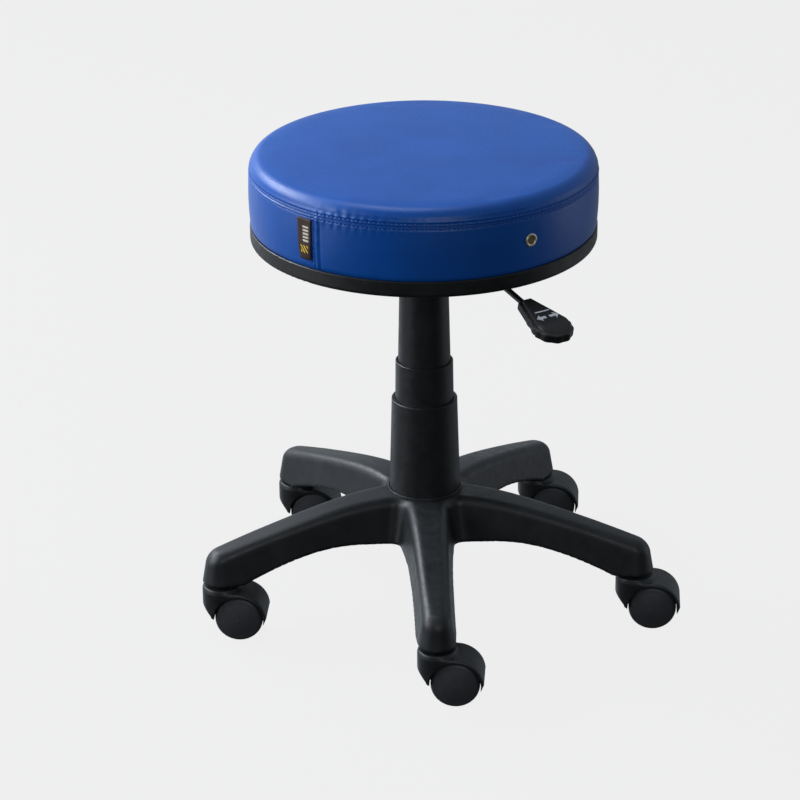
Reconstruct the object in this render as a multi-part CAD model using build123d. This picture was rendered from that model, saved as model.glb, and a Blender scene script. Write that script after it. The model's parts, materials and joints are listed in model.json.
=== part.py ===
from build123d import *
import os
from math import asin, atan2, cos, hypot, pi, radians, sin, sqrt, tan

# Pedicure stool: a round padded seat on a gas lift, a five-arm nylon base and twin-wheel casters.
# Millimetres. The origin is on the column's axis at floor level, +Z is up, and one arm points
# along -Y. The seat is drawn part way up its travel.

# ---- driving sizes: casters ------------------------------------------------------------------
wheel_radius = 25.0
wheel_outer_face = 21.3        # from the caster's middle plane
wheel_dome = 1.2               # how far the outer face bulges past its rim
wheel_edge = 4.5               # rounding between tread and outer face
web_half = 6.5                 # half the thickness of the web between the two wheels
web_boss_radius = 11.0
axle_radius = 3.0
axle_cover = 2.4               # plastic left over the axle's blind end
caster_trail = 19.0            # from the swivel axis to the axle
caster_heading = -6.2          # degrees, the way every caster trails
hood_gap = 1.0                 # between tread and hood
hood_wall = 3.3
hood_half = 21.5
hood_tail = 20.0               # degrees that the hood reaches below the axle
cup_radius = 19.5
cup_height_over_wheel = 8.0
cup_side = 20.0                # straight height of the cup above its chamfer
stem_radius = 5.5
stem_foot_radius = 4.0
stem_foot = 20.0               # length held in the hood
stem_depth = 22.0              # length held in the arm
stem_flange_radius = 8.5
arm_gap = 3.0                  # open gap between the cup and the arm

# ---- driving sizes: star base ----------------------------------------------------------------
arm_count = 5
stem_circle = 227.8            # radius from the column's axis to each caster stem
nose_radius = 19.75
root_half = 36.5               # half the arm's width at its root, at the height of its end face
arm_draft = 10.0               # degrees that the arm's sides lean in
arm_rise = 71.0                # from the arm's end face up to the top of the hub
arm_skin = 3.5
arm_wall = 3.0
rib = 2.5
socket_boss_radius = 10.5
hub_over_tube = 15.0           # the hub's top edge outside the column tube
hub_flare_over_tube = 20.0
hub_foot_over_tube = 6.5
hub_foot_drop = 9.0            # the hub's foot below its flare
lip_height = 2.3
lip_wall = 1.8
ring_wall = 2.8                # steel ring pressed around the hub's foot

# ---- driving sizes: column and gas lift ------------------------------------------------------
tube_radius = 25.0
tube_wall = 2.0
tube_floor = 3.0
tube_taper = 1.0               # how much narrower the tube's foot is than its top
tube_below_hub = 3.0
tube_above_hub = 124.0
cylinder_radius = 14.0
cylinder_wall = 2.0
cylinder_plug = 18.0           # rod seal and guide in the cylinder's lower end
cylinder_taper = 0.65          # taken off the radius over the tapered top
rod_radius = 5.0
rod_foot_radius = 4.0
piston_height = 12.0
ball_radius = 2.0
ball_count = 10
ball_circle = 8.2
race_thickness = 2.0
race_radius = 11.5
cage_thickness = 1.6
bumper_height = 12.0
bush_length = 70.0
bush_flange = 2.0
lift_up = 50.0                 # from the drawn height up to the top of the travel
lift_down = 70.0               # from the drawn height down to the bottom
release_pin_radius = 3.0

# ---- driving sizes: telescopic cover ---------------------------------------------------------
cover_lower_height = 102.7
cover_lower_foot_over_tube = 12.3
cover_lower_top_over_tube = 9.4
cover_middle_length = 87.0
cover_middle_foot_over_tube = 6.15
cover_middle_top_over_tube = 5.07
cover_upper_foot_over_tube = 3.35
cover_upper_top_over_tube = -0.05
cover_wall = 1.5
cover_upper_wall = 1.0
cover_lip = 2.5                # height of the thicker rim at a section's top
cover_foot = 1.5

# ---- driving sizes: mechanism ----------------------------------------------------------------
lever_azimuth = -59.0          # degrees
box_approach = 59.3            # from the column's top to the mechanism box, at the lowest seat
box_height = 26.5
box_wall = 2.0
box_beside_socket = 3.0        # room in the box beside the taper socket
plate_side = 130.0
plate_thickness = 2.5
plate_corner = 12.0
bolt_x = 50.0                  # half the bolt spacing along the lever
bolt_y = 48.0                  # half the bolt spacing across it
bolt_radius = 3.0
bolt_head_radius = 5.6
bolt_head = 4.0
socket_wall = 5.0
socket_drop = 13.0             # the taper socket below the mechanism box
socket_rise = 11.7             # the taper socket above the box's floor
lever_pivot = 50.0             # from the column's axis to the lever's ball bush
lever_below_plate = 7.8        # the lever's axis below the mounting plate
lever_radius = 3.0
lever_overhang = 8.0           # the lever's inner end past the column's axis
lever_slope_run = 36.0         # length of the lever's sloped end in front of the handle
lever_slope = 12.0             # degrees, of the lever's outer end and of the handle on it
lever_bend = 60.0
ball_bush_radius = 6.0
handle_under_seat = 2.8        # the handle's neck inside the seat's widest ring
handle_length = 71.0
handle_shoulder = 50.0         # from the handle's neck to where its round tip starts
handle_insert = 20.0
handle_neck_half = 7.0
handle_half = 19.0
handle_thickness = 10.5
handle_rise = 1.4              # the handle's mid-plane above the lever's axis at its neck
clip_below_tube = 2.6          # the retaining clip's underside below the column tube
clip_thickness = 1.2

# ---- driving sizes: seat ---------------------------------------------------------------------
seat_radius = 178.8            # at the seam, the widest ring
band_pull_in = 2.3             # how far the cover is drawn in where it comes out of the tray
seat_thickness = 93.7          # from the tray's underside to the top of the cushion
edge_radius = 19.5
tray_rim_height = 16.7
tray_wall = 2.5
tray_floor = 2.5
tray_corner = 4.0
tray_lap = 1.3                 # the tray's rim inside the widest ring
board_thickness = 12.0
cover_skin = 1.0
hem_width = 40.0
tee_flange_radius = 9.0
tee_flange = 1.2
tee_barrel_radius = 4.2
tee_barrel = 9.0
vent_azimuth = -56.8
vent_height = 47.9             # above the tray's underside
vent_flange_radius = 7.15
vent_barrel_radius = 5.0
vent_hole_radius = 4.0
vent_flange = 0.9
tag_start = -137.2             # degrees
tag_end = -131.4
tag_bottom = 26.7              # above the tray's underside
tag_height = 42.0
tag_thickness = 0.8

# ---- clearances ------------------------------------------------------------------------------
running = 0.05                 # radial, shafts that turn or slide
seated = 0.03                  # radial, pieces pressed or dropped into their seats
soft_gap = 0.1                 # between padding and the skin around it
face_gap = 0.3                 # between pieces on different bodies that pass or meet

# ---- radii that follow from them -------------------------------------------------------------
hub_radius = tube_radius + hub_over_tube
hub_flare = tube_radius + hub_flare_over_tube
hub_foot_radius = tube_radius + hub_foot_over_tube
cover_lower_foot_radius = tube_radius + cover_lower_foot_over_tube
cover_lower_top_radius = tube_radius + cover_lower_top_over_tube
cover_middle_foot_radius = tube_radius + cover_middle_foot_over_tube
cover_middle_top_radius = tube_radius + cover_middle_top_over_tube
cover_upper_foot_radius = tube_radius + cover_upper_foot_over_tube
cover_upper_top_radius = tube_radius + cover_upper_top_over_tube
socket_outer_radius = cylinder_radius + socket_wall
box_half_width = socket_outer_radius + box_beside_socket
seat_band_radius = seat_radius - band_pull_in
handle_start = seat_radius - handle_under_seat
lever_straight = handle_start - lever_slope_run

# ---- heights, worked out from the floor up ---------------------------------------------------
axle_z = wheel_radius
cup_top = 2 * wheel_radius + cup_height_over_wheel
arm_end_z = cup_top + arm_gap
hub_top = arm_end_z + arm_rise
hub_flare_z = arm_end_z + 0.32 * arm_rise
hub_foot_z = hub_flare_z - hub_foot_drop
tube_bottom = hub_foot_z - tube_below_hub
tube_top = hub_top + tube_above_hub
clip_z = tube_bottom - clip_below_tube
bearing_z = tube_bottom + tube_floor
ball_z = bearing_z + race_thickness + running + ball_radius
race_upper_z = ball_z + ball_radius + running
bumper_z = race_upper_z + race_thickness
cylinder_bottom = bumper_z + bumper_height + 3.0 + lift_down
piston_bottom = cylinder_bottom + cylinder_plug + lift_up + 8.0
piston_top = piston_bottom + piston_height
box_bottom = tube_top + lift_down + box_approach
box_top = box_bottom + box_height
plate_top = box_top + plate_thickness
lever_z = box_top - lever_below_plate
socket_bottom = box_bottom - socket_drop
socket_top = box_bottom + socket_rise
release_pin_top = lever_z - lever_radius - face_gap
tray_z = plate_top
tray_top = tray_z + tray_rim_height
seat_top = tray_z + seat_thickness
seam_z = seat_top - edge_radius
board_z = tray_z + tray_floor + cover_skin
cover_lower_top = hub_top + cover_lower_height
cover_upper_bottom = cover_lower_top + face_gap
cover_middle_bottom = hub_top + cover_foot + lift_down / 2 + 21.5
cover_middle_top = cover_middle_bottom + cover_middle_length
tray_radius = seat_radius - tray_lap
tuck_radius = tray_radius - tray_wall - face_gap


# ---- small helpers ---------------------------------------------------------------------------
def turned(*outline):
    """Solid of revolution about Z from (radius, height) corners."""
    return revolve(make_face(Plane.XZ * Polyline(*outline, close=True)), Axis.Z)


def ring(inner, outer, low, high):
    """Plain ring about Z."""
    return turned((inner, low), (outer, low), (outer, high), (inner, high))


def rod(radius, low, high):
    """Plain cylinder about Z."""
    return turned((0, low), (radius, low), (radius, high), (0, high))


def along(azimuth):
    """Turns a piece drawn along +X to an azimuth about the column."""
    return Rot(0, 0, azimuth)


def arm_azimuth(index):
    return -90.0 + index * 360.0 / arm_count


def bored(radius, low, high, x, y):
    return Pos(x, y, 0) * rod(radius, low, high)


# ---- star base -------------------------------------------------------------------------------
def arm_outline(root, nose, z):
    """Plan of an arm at height z: straight sides that run into the round nose."""
    reach = hypot(stem_circle, root)
    lean = atan2(root, stem_circle) - asin(nose / reach)
    x = stem_circle + nose * sin(lean)
    y = nose * cos(lean)
    sides = Line((0, root), (0, -root)) + Line((0, -root), (x, -y)) + Line((x, y), (0, root))
    return Pos(0, 0, z) * make_face(sides + ThreePointArc((x, -y), (stem_circle + nose, 0), (x, y)))


def arm_wedge(inset):
    """Drafted block under the arm's outline, with its walls moved in by inset."""
    height = arm_rise + 10.0
    lean_in = height * tan(radians(arm_draft))
    low = arm_outline(root_half - inset, nose_radius - inset, arm_end_z)
    high = arm_outline(root_half - inset - lean_in, nose_radius - inset - lean_in, arm_end_z + height)
    return loft([low, high], ruled=True)


# Drops of the arm's crown below the hub's top, and rises of its underside above its end face, as
# shares of the stem circle and of the arm's rise.
arm_crown = ((0.386, 0.035), (0.575, 0.148), (0.724, 0.260), (0.878, 0.394), (1.010, 0.514), (1.12, 0.62))
arm_belly = ((0.330, 0.360), (0.483, 0.380), (0.597, 0.338), (0.711, 0.246), (0.825, 0.127), (0.91, 0.01))


def arm_side(skin, drop):
    """Side profile turned about Z: its crown lowered by skin, its underside lowered by drop."""
    crown = [(hub_radius, hub_top - skin)]
    crown += [(stem_circle * x, hub_top - skin - arm_rise * z) for x, z in arm_crown]
    belly = [(hub_flare, hub_flare_z - drop)]
    belly += [(stem_circle * x, arm_end_z + arm_rise * z - drop) for x, z in arm_belly]
    outer = crown[-1][0]
    top = Line((0, hub_top - skin), crown[0]) + Spline(*crown, tangents=((1, 0), (1, -0.33)))
    end = Line(crown[-1], (outer, arm_end_z - drop)) + Line((outer, arm_end_z - drop), belly[-1])
    low = Spline(*belly) + Line(belly[0], (0, belly[0][1])) + Line((0, belly[0][1]), (0, hub_top - skin))
    return revolve(make_face(Plane.XZ * (top + end + low)), Axis.Z)


def stem_socket(radius):
    return bored(radius, arm_end_z - 1.0, arm_end_z + stem_depth + 0.5, stem_circle, 0)


def star_base():
    """Hub and arms moulded in one, open underneath, with ribs and a socket in each arm."""
    skin_side = arm_side(arm_skin, 30.0)
    arm = arm_wedge(0) & arm_side(0, 0)
    hollow = arm_wedge(arm_wall) & skin_side
    hollow -= rod(hub_flare + 4.0, 0, hub_top)
    for share in (0.38, 0.53, 0.68, 0.83):
        hollow -= Pos(stem_circle * share, 0, hub_top / 2) * Box(rib, 4 * root_half, 2 * hub_top)
    hollow -= Pos(stem_circle / 2, 0, hub_top / 2) * Box(stem_circle, rib, 2 * hub_top)
    hollow -= bored(socket_boss_radius, 0, hub_top, stem_circle, 0)
    arm = arm - hollow - stem_socket(stem_radius + seated)
    hub = turned(
        (0, hub_foot_z),
        (hub_foot_radius, hub_foot_z),
        (hub_foot_radius, hub_flare_z - 2.0),
        (hub_flare, hub_flare_z),
        (hub_radius, hub_top),
        (0, hub_top),
    )
    lip_inner = cover_lower_foot_radius + seated
    hub += ring(lip_inner, lip_inner + lip_wall, hub_top - 1.0, hub_top + lip_height)
    for index in range(arm_count):
        hub += along(arm_azimuth(index)) * arm
    return hub - tube_outside(seated)


def hub_ring():
    inner = hub_foot_radius + seated
    return ring(inner, inner + ring_wall, hub_foot_z + 0.5, hub_flare_z - 2.5)


# ---- column ----------------------------------------------------------------------------------
def tube_outside(gap):
    """Outside of the column tube, wedged into the hub by its taper, with gap added all round."""
    return turned(
        (0, tube_bottom),
        (tube_radius - tube_taper + gap, tube_bottom),
        (tube_radius + gap, hub_top),
        (tube_radius + gap, tube_top),
        (0, tube_top),
    )


def column_tube():
    bore = rod(tube_radius - tube_taper - tube_wall, tube_bottom + tube_floor, hub_top)
    bore += rod(tube_radius - tube_wall, hub_top, tube_top)
    return tube_outside(0) - bore - rod(rod_foot_radius + running, 0, tube_top)


def guide_bush():
    """Plastic bush in the tube's mouth that the gas cylinder slides in."""
    outer = tube_radius - tube_wall - seated
    inner = cylinder_radius + running
    flange = ring(inner, tube_radius - running, tube_top, tube_top + bush_flange)
    return ring(inner, outer, tube_top - bush_length, tube_top) + flange


def bearing_race(z):
    return ring(rod_foot_radius + running, race_radius, z, z + race_thickness)


def bearing_cage():
    cage = ring(rod_foot_radius + 1.0, race_radius - 0.3, ball_z - cage_thickness / 2, ball_z + cage_thickness / 2)
    for index in range(ball_count):
        cage -= along(index * 360.0 / ball_count) * bored(ball_radius + running, 0, tube_top, ball_circle, 0)
    return cage


def bearing_balls():
    ball = Pos(ball_circle, 0, ball_z) * Sphere(ball_radius)
    return Compound([along(index * 360.0 / ball_count) * ball for index in range(ball_count)])


def bumper():
    """Rubber stop that the gas cylinder meets at the bottom of its travel."""
    inner = rod_radius + running
    outer = race_radius - 0.5
    return turned(
        (inner, bumper_z),
        (outer, bumper_z),
        (outer, bumper_z + bumper_height - 3.0),
        (outer - 2.0, bumper_z + bumper_height),
        (inner, bumper_z + bumper_height),
    )


def piston_rod():
    """Rod with its piston inside the gas cylinder and its foot through the tube's floor."""
    inner = cylinder_radius - cylinder_wall
    shaft = rod(rod_radius, bumper_z, piston_bottom) + rod(inner - running, piston_bottom, piston_top)
    foot = rod(rod_foot_radius, clip_z - 3.0, bumper_z)
    return shaft + foot - ring(rod_foot_radius - 1.0, rod_foot_radius + 1.0, clip_z, clip_z + clip_thickness)


def retaining_clip():
    """Open spring clip in the rod's groove."""
    clip = ring(rod_foot_radius - 1.0 + seated, rod_foot_radius + 4.0, clip_z + 0.05, clip_z + clip_thickness - 0.05)
    return clip - Pos(rod_foot_radius + 2, 0, clip_z) * Box(8, 4, 6)


def retaining_washer():
    low = clip_z + clip_thickness
    return ring(rod_foot_radius + running, rod_foot_radius + 5.5, low, tube_bottom - 0.1)


def gas_cylinder():
    """Pressure cylinder: a long body with a tapered top that wedges into the socket."""
    body = turned(
        (0, cylinder_bottom),
        (cylinder_radius - 1.0, cylinder_bottom),
        (cylinder_radius, cylinder_bottom + 1.0),
        (cylinder_radius, socket_bottom),
        (cylinder_radius - cylinder_taper, socket_top),
        (0, socket_top),
    )
    inner = cylinder_radius - cylinder_wall
    body -= rod(inner, cylinder_bottom + cylinder_plug, socket_bottom - 12.0)
    body -= rod(rod_radius + running, cylinder_bottom - 1.0, cylinder_bottom + cylinder_plug + 1.0)
    return body - rod(release_pin_radius + running, socket_bottom, socket_top + 1.0)


def release_pin():
    """Valve button that the lever presses down into the cylinder's top."""
    low = socket_bottom + 8.0
    return turned(
        (0, low),
        (release_pin_radius, low),
        (release_pin_radius, release_pin_top - 0.6),
        (release_pin_radius - 0.6, release_pin_top),
        (0, release_pin_top),
    )


# ---- telescopic cover ------------------------------------------------------------------------
def cover_section(foot_radius, top_radius, wall, low, high, lip_inner):
    """Drafted sleeve with a rim turned in at its top."""
    return turned(
        (foot_radius - wall, low),
        (foot_radius, low),
        (top_radius, high - 0.6),
        (top_radius - 0.6, high),
        (lip_inner, high),
        (lip_inner, high - cover_lip),
        (top_radius - wall, high - cover_lip - 1.0),
    )


def radius_between(foot, top, low, high, z):
    """Radius of a drafted sleeve at height z."""
    return foot + (top - foot) * (z - low) / (high - low)


def cover_upper_radius(z):
    return radius_between(cover_upper_foot_radius, cover_upper_top_radius, cover_upper_bottom, box_bottom, z)


def cover_middle_radius(z):
    low, high = cover_middle_bottom, cover_middle_top
    return radius_between(cover_middle_foot_radius, cover_middle_top_radius, low, high, z)


def cover_lower():
    """Bottom section, standing on the hub inside its lip."""
    widest = cover_middle_radius(cover_lower_top - lift_up / 2)
    sleeve = cover_section(
        cover_lower_foot_radius,
        cover_lower_top_radius,
        cover_wall,
        hub_top,
        cover_lower_top,
        widest + face_gap,
    )
    floor = ring(tube_radius + face_gap, cover_lower_foot_radius - cover_wall / 2, hub_top, hub_top + cover_foot)
    return sleeve + floor


def cover_middle():
    widest = cover_upper_radius(cover_middle_top - lift_up / 2)
    return cover_section(
        cover_middle_foot_radius,
        cover_middle_top_radius,
        cover_wall,
        cover_middle_bottom,
        cover_middle_top,
        widest + face_gap,
    )


def cover_upper():
    """Top section, held under the mechanism box around the taper socket."""
    return turned(
        (cover_upper_foot_radius - cover_upper_wall, cover_upper_bottom),
        (cover_upper_foot_radius, cover_upper_bottom),
        (cover_upper_top_radius, box_bottom - 0.6),
        (cover_upper_top_radius - 0.6, box_bottom),
        (socket_outer_radius + seated, box_bottom),
        (socket_outer_radius + seated, box_bottom - cover_foot),
        (cover_upper_top_radius - cover_upper_wall, box_bottom - cover_foot),
    )


# ---- lift mechanism --------------------------------------------------------------------------
def mechanism_box():
    """Pressed steel box, welded under the plate, that the lever passes through."""
    half_length = lever_pivot + box_wall / 2
    middle = (box_bottom + box_top) / 2
    box = Pos(0, 0, middle) * Box(2 * half_length, 2 * box_half_width, box_height)
    inside = Pos(0, 0, middle + box_wall / 2) * Box(
        2 * (half_length - box_wall),
        2 * (box_half_width - box_wall),
        box_height - box_wall,
    )
    box = box - inside - rod(socket_outer_radius + seated, 0, box_bottom + box_wall + 1.0)
    bearing = Pos(half_length, 0, lever_z) * Rot(0, 90, 0) * Cylinder(ball_bush_radius + running, 4 * box_wall)
    return along(lever_azimuth) * (box - bearing)


def taper_socket():
    """Steel socket wedged on the gas cylinder's tapered top."""
    outer = rod(socket_outer_radius, socket_bottom, socket_top)
    taper = turned(
        (0, socket_bottom - 1.0),
        (cylinder_radius + seated, socket_bottom - 1.0),
        (cylinder_radius + seated, socket_bottom),
        (cylinder_radius - cylinder_taper + seated, socket_top),
        (cylinder_radius - cylinder_taper + seated, socket_top + 1.0),
        (0, socket_top + 1.0),
    )
    return outer - taper


def at_bolts(piece):
    """The piece at each corner of the bolt pattern."""
    corners = [(x, y) for x in (-bolt_x, bolt_x) for y in (-bolt_y, bolt_y)]
    return [along(lever_azimuth) * Pos(x, y, 0) * piece for x, y in corners]


def mount_plate():
    plate = extrude(Pos(0, 0, box_top) * RectangleRounded(plate_side, plate_side, plate_corner), plate_thickness)
    plate = along(lever_azimuth) * plate
    for hole in at_bolts(rod(bolt_radius + 0.3, box_top - 1.0, plate_top + 1.0)):
        plate -= hole
    return plate


def mount_bolts():
    """Hexagon-head bolts up through the plate and the tray into the tee nuts."""
    head = extrude(Pos(0, 0, box_top - bolt_head) * RegularPolygon(bolt_head_radius, 6), bolt_head)
    bolt = head + rod(bolt_radius, box_top - 0.5, board_z + board_thickness - 0.6)
    return Compound(at_bolts(bolt))


def lever_line(reach):
    """Path of the lever from its inner end out to reach, with one gentle bend."""
    fall = (reach - lever_straight) * tan(radians(lever_slope))
    corners = ((-lever_overhang, lever_z), (lever_straight, lever_z), (reach, lever_z - fall))
    return Plane.XZ * FilletPolyline(*corners, radius=lever_bend)


def lever_solid(radius, reach):
    start = Plane(origin=(-lever_overhang, 0, lever_z), z_dir=(1, 0, 0))
    return sweep(start * Circle(radius), path=lever_line(reach))


def lever_rod():
    return along(lever_azimuth) * lever_solid(lever_radius, handle_start + handle_insert)


def lever_bush():
    """Nylon ball on the lever, turning in the hole in the box's end wall."""
    ball = Pos(lever_pivot, 0, lever_z) * Sphere(ball_bush_radius)
    ball &= Pos(lever_pivot, 0, lever_z) * Box(box_wall + 6.0, 4 * ball_bush_radius, 4 * ball_bush_radius)
    bore = Pos(lever_pivot, 0, lever_z) * Rot(0, 90, 0) * Cylinder(lever_radius + seated, 40.0)
    return along(lever_azimuth) * (ball - bore)


def lever_handle():
    """Paddle in line with the lever's sloped end, widening from its neck to a round tip."""
    shoulder = (handle_start + handle_shoulder, handle_half)
    end = handle_start + handle_length
    neck = (handle_start, handle_neck_half)
    tip = ThreePointArc(shoulder, (end, 0), (shoulder[0], -shoulder[1]))
    sides = Line((neck[0], -neck[1]), neck) + Line(neck, shoulder) + Line((shoulder[0], -shoulder[1]), (neck[0], -neck[1]))
    middle_z = lever_z - lever_slope_run * tan(radians(lever_slope)) + handle_rise
    paddle = extrude(Pos(0, 0, middle_z) * make_face(sides + tip), handle_thickness / 2, both=True)
    tilt = Pos(handle_start, 0, middle_z) * Rot(0, lever_slope, 0) * Pos(-handle_start, 0, -middle_z)
    bore = lever_solid(lever_radius + seated, handle_start + handle_insert)
    return along(lever_azimuth) * (tilt * paddle - bore)


# ---- seat ------------------------------------------------------------------------------------
def cushion_outline(inset, low):
    """Half section of the cushion, its skin moved in by inset, from height low up."""
    tuck = tuck_radius - inset
    band = seat_band_radius - inset
    widest = seat_radius - inset
    top = seat_top - inset
    out_z = tray_top + 1.5
    middle = (0.3 * band + 0.7 * widest, (out_z + seam_z) / 2)
    flat = seat_radius - edge_radius
    corner = edge_radius - inset
    edge_point = (flat + corner * cos(pi / 4), seam_z + corner * sin(pi / 4))
    wall = Line((0, low), (tuck, low)) + Line((tuck, low), (tuck, tray_top)) + Line((tuck, tray_top), (band, out_z))
    side = ThreePointArc((band, out_z), middle, (widest, seam_z))
    edge = ThreePointArc((widest, seam_z), edge_point, (flat, top))
    return make_face(Plane.XZ * (wall + side + edge + Line((flat, top), (0, top)) + Line((0, top), (0, low))))


def vent_axis(piece):
    """Lays a piece drawn along Z, outwards up, on the vent's axis with Z=0 at the column."""
    return along(vent_azimuth) * Pos(0, 0, tray_z + vent_height) * Rot(0, 90, 0) * piece


def seat_cover():
    """Sewn cover: top, side band and the hem turned in under the board."""
    inside = revolve(cushion_outline(cover_skin, board_z), Axis.Z)
    skin = revolve(cushion_outline(0, tray_z + tray_floor), Axis.Z) - inside
    skin -= rod(tuck_radius - hem_width, 0, board_z + 0.1)
    return skin - vent_axis(rod(vent_barrel_radius + seated, seat_band_radius - 12.0, seat_radius + 5.0))


def seat_foam():
    """Foam block glued on the board, relieved over the tee nuts and behind the vent."""
    low = board_z + board_thickness
    foam = revolve(cushion_outline(cover_skin + soft_gap, low), Axis.Z)
    for pocket in at_bolts(rod(tee_flange_radius + 1.0, low - 1.0, low + tee_flange + 0.5)):
        foam -= pocket
    return foam - vent_axis(rod(vent_flange_radius + 1.5, seat_band_radius - 7.0, seat_radius + 5.0))


def seat_board():
    board = rod(tuck_radius - cover_skin - soft_gap, board_z, board_z + board_thickness)
    for hole in at_bolts(rod(tee_barrel_radius + seated, 0, seat_top)):
        board -= hole
    return board


def tee_nuts():
    """Threaded tee nuts pressed down into the board."""
    top = board_z + board_thickness
    nut = ring(bolt_radius + running, tee_barrel_radius, top - tee_barrel, top)
    nut += ring(bolt_radius + running, tee_flange_radius, top, top + tee_flange)
    return Compound(at_bolts(nut))


def seat_tray():
    """Plastic tray under the seat, its rim standing up around the tucked cover."""
    corner = tray_corner
    bend = corner * (1 - cos(pi / 4))
    outside = (
        Line((0, tray_z), (tray_radius - corner, tray_z))
        + ThreePointArc((tray_radius - corner, tray_z), (tray_radius - bend, tray_z + bend), (tray_radius, tray_z + corner))
        + Line((tray_radius, tray_z + corner), (tray_radius, tray_top - 0.8))
        + Line((tray_radius, tray_top - 0.8), (tray_radius - 0.8, tray_top))
        + Line((tray_radius - 0.8, tray_top), (0, tray_top))
        + Line((0, tray_top), (0, tray_z))
    )
    tray = revolve(make_face(Plane.XZ * outside), Axis.Z)
    tray -= rod(tray_radius - tray_wall, tray_z + tray_floor, tray_top + 1.0)
    tray += rod(tuck_radius - hem_width - 2.0, tray_z + tray_floor, board_z)
    for hole in at_bolts(rod(bolt_radius + 0.6, tray_z - 1.0, board_z + 1.0)):
        tray -= hole
    return tray


def vent_eyelet():
    """Metal eyelet with a back washer, clinched through the cover."""
    skin_out = cushion_radius(tray_z + vent_height)
    skin_in = skin_out - cover_skin
    barrel = ring(vent_hole_radius, vent_barrel_radius, skin_in - 2.2, skin_out + 0.8)
    flange = ring(vent_hole_radius, vent_flange_radius, skin_out + 0.4, skin_out + 0.4 + vent_flange)
    washer = ring(vent_hole_radius, vent_flange_radius, skin_in - 2.2, skin_in - 1.2)
    return vent_axis(barrel + flange + washer)


def cushion_radius(z):
    """Radius of the cover's side band at height z, close to the arc that draws it."""
    share = (z - tray_top - 1.5) / (seam_z - tray_top - 1.5)
    straight = seat_band_radius + (seat_radius - seat_band_radius) * share
    return straight + 0.8 * (seat_radius - seat_band_radius) * share * (1 - share)


def side_tag():
    """Folded cloth tag sewn flat on the side band."""
    rows = [tray_z + tag_bottom + tag_height * step / 4 for step in range(5)]
    near = [(cushion_radius(z) + soft_gap, z) for z in rows]
    far = [(r + tag_thickness, z) for r, z in near]
    strip = make_face(Plane.XZ * Polyline(*near, *reversed(far), close=True))
    return along(tag_start) * revolve(strip, Axis.Z, revolution_arc=tag_end - tag_start)


# ---- casters ---------------------------------------------------------------------------------
def hood_side():
    """Side view of the hood: cup, chamfer, round back and pointed tail, filled in."""
    outer = wheel_radius + hood_gap + hood_wall
    inner = wheel_radius + hood_gap
    tail = radians(-hood_tail)
    tip = (caster_trail + inner * cos(tail), axle_z + inner * sin(tail))
    back = (caster_trail + outer, axle_z + 3.0)
    crest = (caster_trail, axle_z + outer)
    shoulder = (caster_trail + outer * cos(pi / 4), axle_z + outer * sin(pi / 4))
    chamfer_z = cup_top - cup_side
    toe = (caster_trail - inner - 0.5, axle_z)
    front = Line(crest, (-cup_radius, axle_z + outer)) + Line((-cup_radius, axle_z + outer), (-cup_radius, chamfer_z))
    front += Line((-cup_radius, chamfer_z), toe)
    under = Line(toe, (tip[0] - 1.0, axle_z)) + Line((tip[0] - 1.0, axle_z), tip)
    return make_face(Plane.XZ * (front + under + Line(tip, back) + ThreePointArc(back, shoulder, crest)))


def cup_block():
    """Round cup under the arm's end, cut back below by the hood's chamfer."""
    cup = rod(cup_radius, axle_z, cup_top)
    chamfer_z = cup_top - cup_side
    toe_x = caster_trail - wheel_radius - hood_gap - 0.5
    nose = ((-2 * cup_radius, chamfer_z), (-cup_radius, chamfer_z), (toe_x, axle_z), (toe_x, 0), (-2 * cup_radius, 0))
    return cup - extrude(Plane.XZ * make_face(Polyline(*nose, close=True)), 2 * cup_radius, both=True)


def wheel_pocket(side):
    """Room for one wheel beside the web."""
    depth = 2 * hood_half
    pocket = Pos(caster_trail, side * (web_half + depth / 2), axle_z) * Rot(90, 0, 0)
    return pocket * Cylinder(wheel_radius + hood_gap, depth)


def cross_bore(radius, half_length):
    return Pos(caster_trail, 0, axle_z) * Rot(90, 0, 0) * Cylinder(radius, 2 * half_length)


def caster_hood():
    """Moulded caster body: cup, hood over both wheels and the web between them."""
    hood = extrude(hood_side(), hood_half, both=True)
    front = (rod(cup_radius, 0, cup_top) + Pos(cup_radius * 2, 0, cup_top / 2) * Box(4 * cup_radius, 2 * hood_half, cup_top))
    hood = (hood & front) + cup_block()
    hood += cross_bore(web_boss_radius, web_half)
    for side in (-1, 1):
        hood -= wheel_pocket(side)
    hood -= rod(stem_foot_radius + running, cup_top - stem_foot - 0.5, cup_top + 1.0)
    return hood - cross_bore(axle_radius + seated, hood_half)


def caster_stem():
    """Steel stem: its foot turns in the hood and its top is gripped in the arm."""
    grip_z = arm_end_z + 0.7 * stem_depth
    stem = rod(stem_foot_radius, cup_top - stem_foot, arm_end_z) + rod(stem_radius, arm_end_z - 0.5, arm_end_z + stem_depth)
    stem += rod(stem_flange_radius, cup_top + face_gap, arm_end_z)
    return stem - ring(stem_radius - 1.0, stem_radius + 1.0, grip_z, grip_z + 3.0)


def stem_grip_ring():
    """Split spring ring in the stem's groove."""
    grip_z = arm_end_z + 0.7 * stem_depth
    grip = ring(stem_radius - 1.0 + seated, stem_radius, grip_z + 0.1, grip_z + 2.9)
    return grip - Pos(stem_radius, 0, grip_z) * Box(3, 2, 12)


def caster_axle():
    return cross_bore(axle_radius, wheel_outer_face - axle_cover)


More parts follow.
